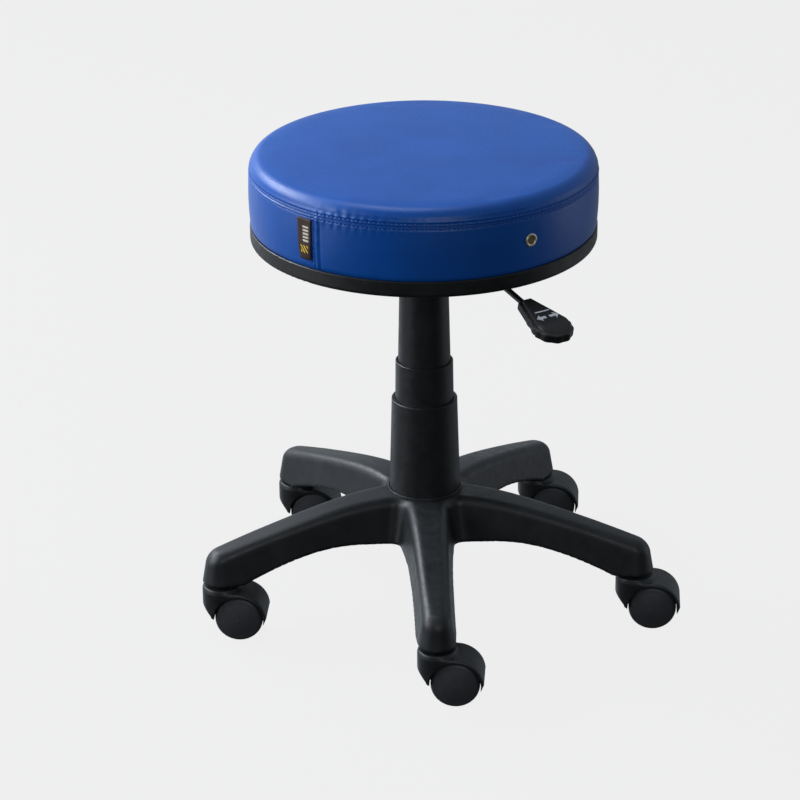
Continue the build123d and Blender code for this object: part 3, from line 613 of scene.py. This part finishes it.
def hood_field(x, y, z):
    """One caster's body on its swivel axis, trailing along +X."""
    side = np.abs(y)
    inner, outer = wheel_radius + hood_gap, wheel_radius + hood_gap + hood_wall
    from_axle = np.hypot(x - caster_trail, z - axle_z)
    crest = axle_z + outer
    toe = caster_trail - inner - toe_gap
    chamfer_z = cup_top - cup_side
    slope = hypot(toe + cup_radius, chamfer_z - axle_z)
    chamfer = -((x + cup_radius) * (chamfer_z - axle_z) + (z - chamfer_z) * (toe + cup_radius)) / slope
    block = np.maximum(np.maximum(-cup_radius - x, x - caster_trail), np.maximum(axle_z - z, z - crest))
    profile = union_blend(from_axle - outer, np.maximum(block, chamfer), 1.0)
    tip = (caster_trail + inner * cos(hood_tail), axle_z - inner * sin(hood_tail))
    back = (caster_trail + outer, axle_z + tail_rise)
    length = hypot(back[0] - tip[0], back[1] - tip[1])
    tail = ((x - tip[0]) * (back[1] - tip[1]) - (z - tip[1]) * (back[0] - tip[0])) / length
    profile = np.maximum(profile, np.maximum(tail, tip[1] - z))
    profile = np.maximum(profile, -np.maximum(z - axle_z, x - caster_trail))
    widening = np.clip(x / flank_run, 0, 1)
    flank = cup_radius + (hood_half - cup_radius) * widening * widening * (3 - 2 * widening)
    plan = np.minimum(np.hypot(x, y) - cup_radius, np.maximum(-x, side - flank))
    hood = rounded_edge(profile, plan, hood_rounding)
    cup = rounded_edge(np.hypot(x, y) - cup_radius, z - cup_top, cup_rounding)
    cup = np.maximum(np.maximum(cup, axle_z - z), chamfer)
    body = union_blend(hood, cup, cup_fillet)
    body = np.maximum(body, -np.maximum(z - axle_z, from_axle - inner))
    pocket = np.maximum(from_axle - inner, web_half - side)
    body = np.maximum(body, -pocket)
    body = np.minimum(body, np.maximum(from_axle - web_boss, side - web_half))
    bore = np.maximum(np.hypot(x, y) - stem_foot_radius, cup_top - stem_foot - z)
    return np.maximum(body, -bore)


def wheel_outline():
    """Half section of a wheel, from its inner face round the tread to a small nub in its domed face."""
    rim = wheel_outer_face - wheel_dome
    shoulder = wheel_radius - wheel_edge
    dome_radius = (shoulder**2 + wheel_dome**2) / (2 * wheel_dome)
    bore, corner = 3.1, wheel_radius - 1.0
    outline = [(radius, wheel_inner_face) for radius in (bore, wheel_radius - 3.0, corner)]
    outline += arc((corner, wheel_inner_face + 1.0), 1.0, -60, 0, 4)
    outline += [(wheel_radius, wheel_inner_face + 5.0), (wheel_radius, rim - wheel_edge - 2.0)]
    outline += arc((shoulder, rim - wheel_edge), wheel_edge, 0, 86, 12)
    centre = wheel_outer_face - dome_radius
    for radius in np.linspace(shoulder - 1.0, 1.6, 14):
        outline.append((radius, centre + (dome_radius**2 - radius**2) ** 0.5))
    nub = ((1.1, 0.12), (0.7, 0.3), (0.02, 0.34))
    return outline + [(radius, wheel_outer_face + rise) for radius, rise in nub]


def casters():
    """Five twin-wheel casters, each hood one moulding over both wheels."""
    inner, outer = wheel_radius + hood_gap, wheel_radius + hood_gap + hood_wall
    low = (-cup_radius - 2.0, -hood_half - 2.0, axle_z - inner * sin(hood_tail) - 4.0)
    high = (caster_trail + outer + 2.0, hood_half + 2.0, cup_top + 2.0)
    hood = mesh_of("caster_hood", *surface_net(hood_field, low, high, hood_cell), base_nylon)
    wheel = mesh_of("wheel", *lathe(wheel_outline(), 120), wheel_nylon)
    axle = Matrix.Translation((caster_trail * MM, 0, axle_z * MM))
    for number in range(1, arm_count + 1):
        swivel = joint(f"caster_{number}_swivel")["pos_m"]
        stand = Matrix.Translation((swivel[0], swivel[1], 0)) @ Matrix.Rotation(caster_heading, 4, "Z")
        piece = place_mesh(f"caster_hood_moulding_{number}", hood, stand)
        finish_piece(piece, f"caster_{number}", "black_nylon", f"caster_hood_{number}")
        for side, face in (("near", 1), ("far", -1)):
            turn = Matrix.Rotation(face * pi / 2, 4, "X")
            piece = place_mesh(f"wheel_moulding_{number}_{side}", wheel, stand @ axle @ turn)
            finish_piece(piece, f"wheel_{number}_{side}", "wheel_nylon", f"caster_wheel_{number}_{side}")


# ---- lever handle
handle_start = 176.0
handle_shoulder = 50.0
handle_neck_half, handle_half, handle_thickness = 7.5, 20.8, 10.5
lever_slope, lever_slope_run = radians(12.0), 36.0
handle_rise = 3.0
skirt_depth = 2.6                # how far the skirt hangs below the paddle's own thickness
tip_begins, tip_run, tip_drop = 47.0, 25.0, 6.0
face_inset, face_draft, face_hollow, face_rounding = 2.4, 0.16, 0.25, 2.0
skirt_inset, skirt_top, skirt_top_rounding, skirt_foot_rounding = 0.7, 1.2, 1.6, 1.4
grip_begins, grip_run, grip_pitch, grip_scallops, grip_depth = 22.0, 6.0, 2.2, 10.0, 0.5
handle_cell = 0.7
mark_at, mark_apart, arrow_length, arrow_head, arrow_shaft = 40.0, 6.5, 11.0, 5.2, 1.9
bar_near, bar_far, bar_half = 29.0, 31.0, 8.5


def handle_matrix():
    """Stands the paddle, drawn along +X from its neck with its face up, on the lever's sloped end."""
    neck_z = lever_z - lever_slope_run * tan(lever_slope) + handle_rise
    spin = Matrix.Rotation(lever_azimuth, 4, "Z")
    neck = Matrix.Translation((handle_start * MM, 0, neck_z * MM))
    return spin @ neck @ Matrix.Rotation(lever_slope, 4, "Y")


def handle_field(x, y, z):
    """Paddle: a flat face with a domed tip, over a skirt whose edge is scalloped for grip."""
    plan = np.maximum(tapered_plan(x, y, handle_neck_half, handle_half, handle_shoulder), -x)
    half = handle_thickness / 2
    fall = np.maximum(x - tip_begins, 0) / tip_run
    face = z - half + tip_drop * fall * fall + face_hollow * (y / handle_half) ** 2
    grip = np.clip((x - grip_begins) / grip_run, 0, 1)
    beyond = x - handle_shoulder
    round_tip = np.cos(np.arctan2(y, beyond) * grip_scallops)
    wave = np.where(beyond > 0, round_tip, np.cos(beyond / grip_pitch))
    skirt = plan + skirt_inset + grip_depth * grip * wave
    upper = np.maximum(rounded_edge(plan + face_inset + face_draft * (z + half), face, face_rounding), -z)
    lower = rounded_edge(skirt, z - skirt_top, skirt_top_rounding)
    lower = rounded_edge(lower, -half - skirt_depth - z, skirt_foot_rounding)
    return union_blend(upper, lower, 2.0)


def arrow_outline(way):
    """Closed outline of a plain arrow on the handle, that points to +Y or -Y as way is 1 or -1."""
    tip_y = way * mark_apart * 2
    tail_y, neck = tip_y - way * arrow_length, tip_y - way * arrow_head
    half = [(arrow_shaft, tail_y), (arrow_shaft, neck), (arrow_head, neck)]
    outline = [(-x, y) for x, y in half[:1]] + half + [(0, tip_y)] + [(-x, y) for x, y in half[:0:-1]]
    return [(mark_at + x, y) for x, y in outline][::way]


def raised_shape(outline, thickness, base):
    """Flat shape with walls, from a closed outline of (x, y)."""
    count = len(outline)
    points = [(x, y, base) for x, y in outline] + [(x, y, base + thickness) for x, y in outline]
    walls = [(k, (k + 1) % count, (k + 1) % count + count, k + count) for k in range(count)]
    return np.array(points), walls + [tuple(range(count, 2 * count)), tuple(range(count - 1, -1, -1))]


def lever_handle():
    low = (-2.0, -handle_half - 3.0, -handle_thickness / 2 - skirt_depth - 2.0)
    high = (handle_shoulder + handle_half + 3.0, handle_half + 3.0, handle_thickness / 2 + 2.0)
    points, faces = surface_net(handle_field, low, high, handle_cell)
    paddle = build("lever_paddle", points, faces, handle_plastic, handle_matrix())
    finish_piece(paddle, "lever", "black_plastic", "lever_handle")
    ink_base, ink_thick = handle_thickness / 2 - 0.3, 0.36
    bar = [(bar_near, -bar_half), (bar_far, -bar_half), (bar_far, bar_half), (bar_near, bar_half)]
    outlines = (arrow_outline(1), arrow_outline(-1), bar)
    points, faces = join_parts([raised_shape(outline, ink_thick, ink_base) for outline in outlines])
    mark = build("lever_mark", points, faces, ink, handle_matrix())
    mark.data.polygons.foreach_set("use_smooth", [False] * len(mark.data.polygons))
    finish_piece(mark, "lever", "black_plastic")


# ---- cushion
band_radius = 176.7              # where the cover comes up out of the tray
widest = 177.4                   # at the top seam
band_bulge = 1.1                 # how far the foam pushes the band out between them
side_rim = widest - 6.0          # a point of the cover further out than this is on its side
edge_roll = 14.0                 # radius of the rolled edge between the top and the band
crown = 2.2                      # how much the top's middle stands over its rim
seam_z = seat_top - 20.2
stitches = 248                   # in each row round the cushion
per_stitch = 5                   # columns of the mesh in each stitch
columns = stitches * per_stitch
row_gap = 2.8                    # from the seam to each row of stitches
upper_row, lower_row = seam_z + row_gap, seam_z - row_gap
seam_azimuth = radians(-129.6)   # the band's own seam
ladder_pitch, ladder_beside = 4.6, 2.6   # between the stitches beside that seam, and from it to them
fold_width = 5.0                 # its raised fold, on the front side
row_thread, ladder_thread = (0.42, 0.25), (0.4, 0.2)   # half thickness, and lift off the cover
band_step, seam_step = 3.4, 0.55  # height of the mesh's rows on the band, and near the top seam
crease_run, crease_back = 150.0, 25.0   # how far the creases reach past the band's seam, and before it
swell_cap, lift_cap = 0.35, 0.2  # most that the stuffing pushes the cover out and up
# Relief of the cover, each feature as its height and how wide it is.
seam_groove, thread_groove, edge_welt, needle_pull = (-1.5, 0.9), (-0.55, 0.85), (0.45, 0.9), (-0.45, 0.9)
crease_below, crease_above, roll_waves = (0.5, 3.4), (0.75, 2.4), (0.5, 4.0)
fold_ridge, fold_groove, fold_toe = (1.15, fold_width * 0.42), (-1.3, 0.8), (-0.5, 1.2)
ladder_holes, ladder_tugs = (-0.7, 0.9), (0.35, 4.0)
pleat, band_draw, vent_dimple = (0.9, 7.0), (0.2, 14.0), (-0.9, 10.0)
tag_low, tag_high = tray_bottom + 26.7, tray_bottom + 68.7
vent_azimuth, vent_z = radians(-56.8), tray_bottom + 47.9


def rest_profile():
    """Half section of the cover at rest as (radius, height), from the tray's rim up and in to the middle;
    the radius of a point on the band is left to band_at."""
    profile = [(174.2, tray_top - 3.0), (174.5, tray_top - 1.0), (175.6, tray_top + 0.7)]
    profile += [(None, height) for height in np.arange(tray_top + 2.2, lower_row - 3.0, band_step)]
    profile += [(None, height) for height in np.arange(lower_row - 2.8, upper_row + 2.8, seam_step)]
    flat, rim_z = widest - edge_roll - 0.5, seat_top - crown - edge_roll
    profile += arc((flat, rim_z), edge_roll, 9, 86, 16)
    top = [(flat * s + 0.05, rim_z + edge_roll + crown * (1 - s * s)) for s in np.linspace(0.985, 0.0, 14)]
    return profile + top


def band_at(height):
    """Radius of the side band at a height: drawn in at the tray, fullest near the seam."""
    share = np.clip((height - tray_top) / (seam_z - tray_top), 0, 1)
    return band_radius + (widest - band_radius) * share + band_bulge * np.sin(pi * share)


def smooth_noise(turn, seed, waves, strength=1.0):
    """Repeatable gentle unevenness round the cushion, made of a few low waves."""
    chance = np.random.default_rng(seed)
    total = np.zeros_like(turn)
    for wave in waves:
        total += chance.uniform(0.5, 1.0) * np.sin(wave * turn + chance.uniform(0, 2 * pi))
    return strength * total / len(waves)


def bell(value, width):
    return np.exp(-((value / width) ** 2))


def raised(distance, feature):
    """Height of a feature of the relief at a distance from its middle."""
    height, width = feature
    return height * bell(distance, width)


def angle_between(turn, centre):
    return (turn - centre + pi) % (2 * pi) - pi


def swell(profile_radius, profile_height, turn):
    """How far the stuffing pushes each point of the cover out and up, found by a short cloth simulation."""
    rows, around, smoothings = 26, 96, 8
    pick = np.linspace(2, len(profile_radius) - 1, rows).astype(int)
    coarse_turn = np.linspace(0, 2 * pi, around, endpoint=False)
    radius, height = profile_radius[pick], profile_height[pick]
    points = turned(radius[:, None], height[:, None], coarse_turn)
    piece = build("swelling", points, grid_faces(rows, around), vinyl)
    piece.vertex_groups.new(name="held").add(list(range(around)), 1.0, "REPLACE")
    cloth = piece.modifiers.new("cloth", "CLOTH").settings
    cloth.vertex_group_mass = "held"
    cloth.use_pressure = True
    cloth.uniform_pressure_force = 4.0
    cloth.effector_weights.gravity = 0.0
    cloth.tension_stiffness = 60.0
    cloth.compression_stiffness = 60.0
    cloth.bending_stiffness = 4.0
    for step in range(1, 16):
        bpy.context.scene.frame_set(step)
    posed = piece.evaluated_get(bpy.context.evaluated_depsgraph_get()).to_mesh()
    after = np.empty(len(posed.vertices) * 3)
    posed.vertices.foreach_get("co", after)
    moved = (after.reshape(-1, 3) / MM - points).reshape(rows, around, 3)
    bpy.context.scene.frame_set(1)
    bpy.data.objects.remove(piece)
    out = moved[..., 0] * np.cos(coarse_turn) + moved[..., 1] * np.sin(coarse_turn)
    places, found = np.arange(len(profile_radius)), []
    for push in (out, moved[..., 2]):
        for _ in range(smoothings):   # tight vinyl shows the broad swell, not the mesh's small folds
            push = (np.roll(push, 1, axis=1) + 2 * push + np.roll(push, -1, axis=1)) / 4
        fine = np.array([np.interp(turn % (2 * pi), coarse_turn, row, period=2 * pi) for row in push])
        found.append(np.stack([np.interp(places, pick, column) for column in fine.T], axis=1))
    return found


def cushion_cover():
    profile = rest_profile()
    height = np.array([h for _, h in profile])
    radius = np.array([band_at(h) if r is None else r for r, h in profile])
    number = np.arange(columns)
    turn = number / columns * 2 * pi + seam_azimuth
    up = height[:, None] * np.ones(columns)
    out = radius[:, None] * np.ones(columns)
    outward, upward = swell(radius, height, turn)
    out = out + np.clip(outward, -swell_cap, swell_cap)
    up = up + np.clip(upward, -swell_cap, lift_cap) * (radius < widest - 2)[:, None]
    along = angle_between(turn, seam_azimuth) * widest
    from_seam = up - seam_z
    from_row = np.abs(from_seam) - row_gap
    # the top seam: a groove, the welt of the folded edges on both sides, and the needle's pull
    hole = 0.5 + 0.5 * np.cos(2 * pi * number / per_stitch)
    groove = raised(from_seam, seam_groove) + raised(from_row, thread_groove)
    groove = groove + raised(np.abs(from_seam) - 1.5, edge_welt) + hole * raised(from_row, needle_pull)
    # small creases drawn in by the thread, strongest just past the band's seam, and wider waves over them
    strength = 0.12 + 0.75 * np.clip(1.0 - along / crease_run, 0, 1) * (along > 0)
    strength = strength + 0.25 * np.clip(1.0 + along / crease_back, 0, 1) * (along <= 0)
    crease = (0.6 + 0.4 * smooth_noise(turn, 5, (37, 53, 71, 97))) * np.cos(pi * number / per_stitch)
    crease = crease * (raised(from_seam + 5.5, crease_below) + raised(from_seam - 4.6, crease_above))
    waves = raised(from_seam - 8.0, roll_waves) * smooth_noise(turn, 31, (61, 83, 109))
    # the band's seam: a groove with one side folded over it, drawn in at each stitch of the ladder
    low_part = np.clip((seam_z + 1.0 - up) / 2.0, 0, 1) * np.clip((up - tray_top + 0.5) / 2.0, 0, 1)
    fold = raised(along - fold_width * 0.55, fold_ridge) + raised(along + 0.2, fold_groove)
    fold = fold + raised(along - fold_width - 1.6, fold_toe)
    fold = fold * (0.8 + 0.2 * np.cos(2 * pi * up / ladder_pitch) + 0.12 * np.sin(up / 2.9 + 1.0))
    at_hole = 0.5 + 0.5 * np.cos(2 * pi * (up - tray_top - 4.0) / ladder_pitch)
    tugs = raised(along + 6.0, ladder_tugs) * np.cos(pi * up / ladder_pitch + 0.6) * low_part
    fold = fold + raised(along + ladder_beside, ladder_holes) * at_hole + tugs
    # the band's own unevenness, the pleat where its seam meets the top, and the dimple of the vent
    from_vent = np.hypot(angle_between(turn, vent_azimuth) * widest, up - vent_z)
    waver = smooth_noise(turn, 9, (3, 5, 8, 13), 0.5) * (1 - bell(from_vent, 14.0))
    draw = raised(along - 16.0, band_draw) * np.sin(from_seam / 9.0)
    soft = raised(along - 6.0, pleat) * bell(from_seam + 1.0, 4.0) + raised(from_vent, vent_dimple)
    band = ((height < seam_z + 6) & (height > tray_top))[:, None]
    out = out + (groove + strength * (crease + waves)) * (radius > side_rim)[:, None]
    out = out + ((fold + waver + draw) * low_part + soft) * band
    dish = smooth_noise(turn, 21, (2, 3, 5), 0.35) * (radius / widest)[:, None] ** 2
    up = up + dish * (height > seam_z + 12)[:, None]
    points = turned(out, np.minimum(up, seat_top), turn)
    cover = build("cushion_cover", points, grid_faces(len(profile), columns), vinyl)
    finish_piece(cover, "seat", "vinyl_cover", "seat_cover")
    return out, up, turn


def foam_block():
    """The foam under the cover, kept a few millimetres inside it."""
    inset = 3.4
    low, high = box("seat_foam")[0][2], seat_top - crown - inset
    outline = [(0.02, low), (band_radius - inset - 1.5, low), (band_radius - inset - 0.5, low + 4.0)]
    outline += [(widest - inset - 2.2, seam_z - 6.0)]
    outline += arc((widest - edge_roll - 2.0, high - edge_roll + inset), edge_roll - inset, 0, 90, 12)
    outline += [(90.0, high - 0.6), (0.02, high - 0.3)]
    finish_piece(build("foam_block", *lathe(outline, 96), foam), "seat", "foam", "seat_foam")


def thread_loop(begin, end, outward, thick, lift):
    """One stitch: a short rounded strand between two needle holes, arched a little off the cover."""
    begin, end, outward = (np.array(v, float) for v in (begin, end, outward))
    along = (end - begin) / np.linalg.norm(end - begin)
    side = np.cross(along, outward)
    points = []
    shares, sides = (0.0, 0.12, 0.5, 0.88, 1.0), 6
    for share in shares:
        centre = begin + (end - begin) * share + outward * lift * (1 - (2 * share - 1) ** 2)
        size = thick * (0.35 if share in (0.0, 1.0) else 1.0)
        for k in range(sides):
            a = 2 * pi * k / sides
            points.append(centre + size * (cos(a) * side + sin(a) * outward))
    faces = grid_faces(len(shares), sides).tolist()
    last = (len(shares) - 1) * sides
    return np.array(points), faces + [list(range(sides))[::-1], list(range(last, last + sides))]


def cushion_stitches(out, up, turn):
    """Both rows along the top seam, and the ladder of stitches beside the band's seam."""
    parts = []
    level, on_side = up[:, 0], out[:, 0] > side_rim
    step = 2 * pi / stitches
    for row_z in (upper_row, lower_row):
        row = int(np.argmin(np.where(on_side, np.abs(level - row_z), np.inf)))
        for number in range(stitches):
            begin = turn[number * per_stitch]
            radius = out[row, number * per_stitch + per_stitch // 2]
            spots = [begin + step * share for share in (0.13, 0.87)]
            ends = [(radius * cos(spot), radius * sin(spot), level[row]) for spot in spots]
            middle = begin + step / 2
            parts.append(thread_loop(*ends, (cos(middle), sin(middle), 0), *row_thread))
    beside = seam_azimuth - ladder_beside / widest
    column = int(np.argmin(np.abs(angle_between(turn, beside))))
    below = level < seam_z
    for low in np.arange(tray_top + 4.0, lower_row - 5.0, ladder_pitch):
        radius = float(np.interp(low + ladder_pitch / 2, level[below], out[below, column]))
        heights = (low + 0.6, low + ladder_pitch - 0.6)
        ends = [(radius * cos(beside), radius * sin(beside), z) for z in heights]
        parts.append(thread_loop(*ends, (cos(beside), sin(beside), 0), *ladder_thread))
    finish_piece(build("cushion_stitches", *join_parts(parts), thread), "seat", "vinyl_cover")


def vent():
    """Rolled eyelet ring in the band, with fine gauze behind its hole."""
    skin = float(band_at(vent_z)) + vent_dimple[0]
    roll, middle = 1.45, 5.55
    inside = middle - roll
    outline = arc((middle, skin + 0.55), roll, -40, 180, 16)
    outline += [(inside, skin - 2.5), (inside - 0.4, skin - 3.0)]
    disc = [(4.7, skin + 0.8), (3.0, skin + 0.65), (1.5, skin + 0.6), (0.02, skin + 0.58)]
    stand = Matrix.Rotation(vent_azimuth, 4, "Z") @ Matrix.Translation((0, 0, vent_z * MM))
    stand = stand @ Matrix.Rotation(pi / 2, 4, "Y")
    finish_piece(build("vent_ring", *lathe(outline, 48), nickel, stand), "seat", "nickel", "vent_eyelet")
    finish_piece(build("vent_gauze", *lathe(disc, 48), gauze, stand), "seat", "nickel")


def side_tag():
    """Woven tag: a loop of ribbon pressed flat, its top caught in the seam's edge, a little wavy."""
    rows, across = 22, 12
    top_half, low_half = 9.0, 7.6
    from_band_seam = 3.6
    centre = seam_azimuth - (from_band_seam + top_half) / widest
    thickness, lift, foot_drift = 0.6, 0.75, 1.1
    share, side = np.meshgrid(np.linspace(0, 1, rows), np.linspace(-1, 1, across), indexing="ij")
    height = tag_low + (tag_high - tag_low) * share
    half = low_half + (top_half - low_half) * share
    turn = centre + (side * half + foot_drift * (1 - share)) / widest
    wave = 0.45 * np.sin(share * 7.0 + side) + 0.4 * np.cos(share * 4.0 - 2 * side) + 0.6
    radius = band_at(height) + lift + wave * (1 - 0.6 * share)
    layers = [turned(surface, height, turn) for surface in (radius, radius + thickness)]
    count = rows * across
    back = grid_faces(rows, across, wrap=False)[:, ::-1]
    front = grid_faces(rows, across, wrap=False) + count
    rim = list(range(across)) + [row * across + across - 1 for row in range(1, rows)]
    rim += [(rows - 1) * across + column for column in range(across - 2, -1, -1)]
    rim += [row * across for row in range(rows - 2, 0, -1)]
    edge = [(a, b, b + count, a + count) for a, b in zip(rim, rim[1:] + rim[:1])]
    faces = [*back.tolist(), *front.tolist(), *edge]
    tag = build("woven_side_tag", np.concatenate(layers), faces, tag_cloth)
    for name, values in ((TAG_ACROSS, (side + 1) / 2), (TAG_UP, share)):
        attribute = tag.data.attributes.new(name, "FLOAT", "POINT")
        attribute.data.foreach_set("value", np.tile(values.ravel(), 2).tolist())
    finish_piece(tag, "seat", "woven_tag", "side_tag")


# ---- studio
camera_at = Vector((-0.1543, -3.0751, 1.5578))
camera_heading = radians(-2.396)     # turned clockwise from +Y
camera_tilt = radians(23.315)        # below level
camera_roll = radians(-0.446)
camera_lens = 144.2


def camera():
    data = bpy.data.cameras.new("camera")
    data.lens = camera_lens
    data.sensor_width = 36.0
    data.clip_end = 100.0
    shot = bpy.data.objects.new("camera", data)
    bpy.context.scene.collection.objects.link(shot)
    turn = Matrix.Rotation(camera_heading, 4, "Z") @ Matrix.Rotation(pi / 2 - camera_tilt, 4, "X")
    shot.matrix_world = Matrix.Translation(camera_at) @ turn @ Matrix.Rotation(camera_roll, 4, "Z")
    bpy.context.scene.camera = shot


def softbox(name, at, aim, size, watts):
    data = bpy.data.lights.new(name, "AREA")
    data.shape = "RECTANGLE"
    data.size, data.size_y = size
    data.energy = watts
    data.color = linear("#F2F7FF")[:3]
    lamp = bpy.data.objects.new(name, data)
    bpy.context.scene.collection.objects.link(lamp)
    lamp.location = at
    lamp.rotation_euler = (Vector(aim) - Vector(at)).to_track_quat("-Z", "Y").to_euler()


def floor():
    """Pale seamless floor that glows a little, so that the stool's own shadow on it stays faint."""
    settings = {"Roughness": 1.0, "Specular IOR Level": 0.0}
    settings |= {"Emission Color": linear("#EEEEEE"), "Emission Strength": 0.975}
    material, tree, shader, place = start("matt_vinyl_backdrop_pale", settings)
    clouds = add(tree, "TexNoise", {"Scale": per_mm(900), "Detail": 3.0}, place).outputs["Fac"]
    feed(tree, shader, (clouds, "#2A2A2A", "#2C2C2C"))
    half = 14.0 / MM
    corners = [(-half, -half, 0), (half, -half, 0), (half, half, 0), (-half, half, 0)]
    piece = build("floor", corners, [(0, 1, 2, 3)], material)
    piece.visible_diffuse = False
    piece.visible_glossy = False
    piece.visible_shadow = False


def studio():
    """Dim room, lit mainly from above and behind on the left, fading towards the front right."""
    world = bpy.data.worlds.new("studio")
    world.use_nodes = True
    tree = world.node_tree
    place = add(tree, "TexCoord").outputs["Generated"]
    sky, behind = ((0.2, 0.75, 0.62), -0.5, 0.04, 0.4), ((-0.45, 0.85, -0.25), 0.62, 0.0, 0.66)
    glows = []               # each brightens from dim, where its cosine begins, towards its way
    for way, begins, dim, bright in (sky, behind):
        toward = add(tree, "VectorMath", {"operation": "DOT_PRODUCT", 1: way}, {0: place}).outputs["Value"]
        settings = {"interpolation_type": "SMOOTHSTEP", "From Min": begins, "To Min": dim, "To Max": bright}
        glows.append(add(tree, "MapRange", settings, {"Value": toward}).outputs[0])
    level = add(tree, "Math", {"operation": "ADD"}, {0: glows[0], 1: glows[1]})
    background = tree.nodes["Background"]
    background.inputs["Color"].default_value = linear("#E4EEF8")
    tree.links.new(level.outputs[0], background.inputs["Strength"])
    bpy.context.scene.world = world
    bpy.context.scene.view_settings.view_transform = "Standard"
    softbox("key", (-2.25, 1.3, 2.1), (0, 0, 0.4), (2.2, 1.0), 100)
    softbox("left_window", (-2.6, -0.6, 1.6), (0, 0, 0.3), (1.2, 0.9), 26)
    softbox("overhead", (-0.4, 0.4, 3.0), (0, 0, 0.4), (1.2, 1.2), 18)
    softbox("left_low", (-1.5, -0.3, 0.4), (0, 0, 0.06), (1.2, 0.7), 7)
    softbox("fill", (0.3, -3.2, 1.6), (0, 0, 0.3), (1.2, 1.2), 17)
    softbox("right_strip", (2.2, 0.3, 0.25), (0, 0, 0.15), (1.2, 1.2), 3.5)


# ---- the stool
camera()
dress_cad_nodes()
star_base()
casters()
lever_handle()
cushion_stitches(*cushion_cover())
foam_block()
vent()
side_tag()
floor()
studio()
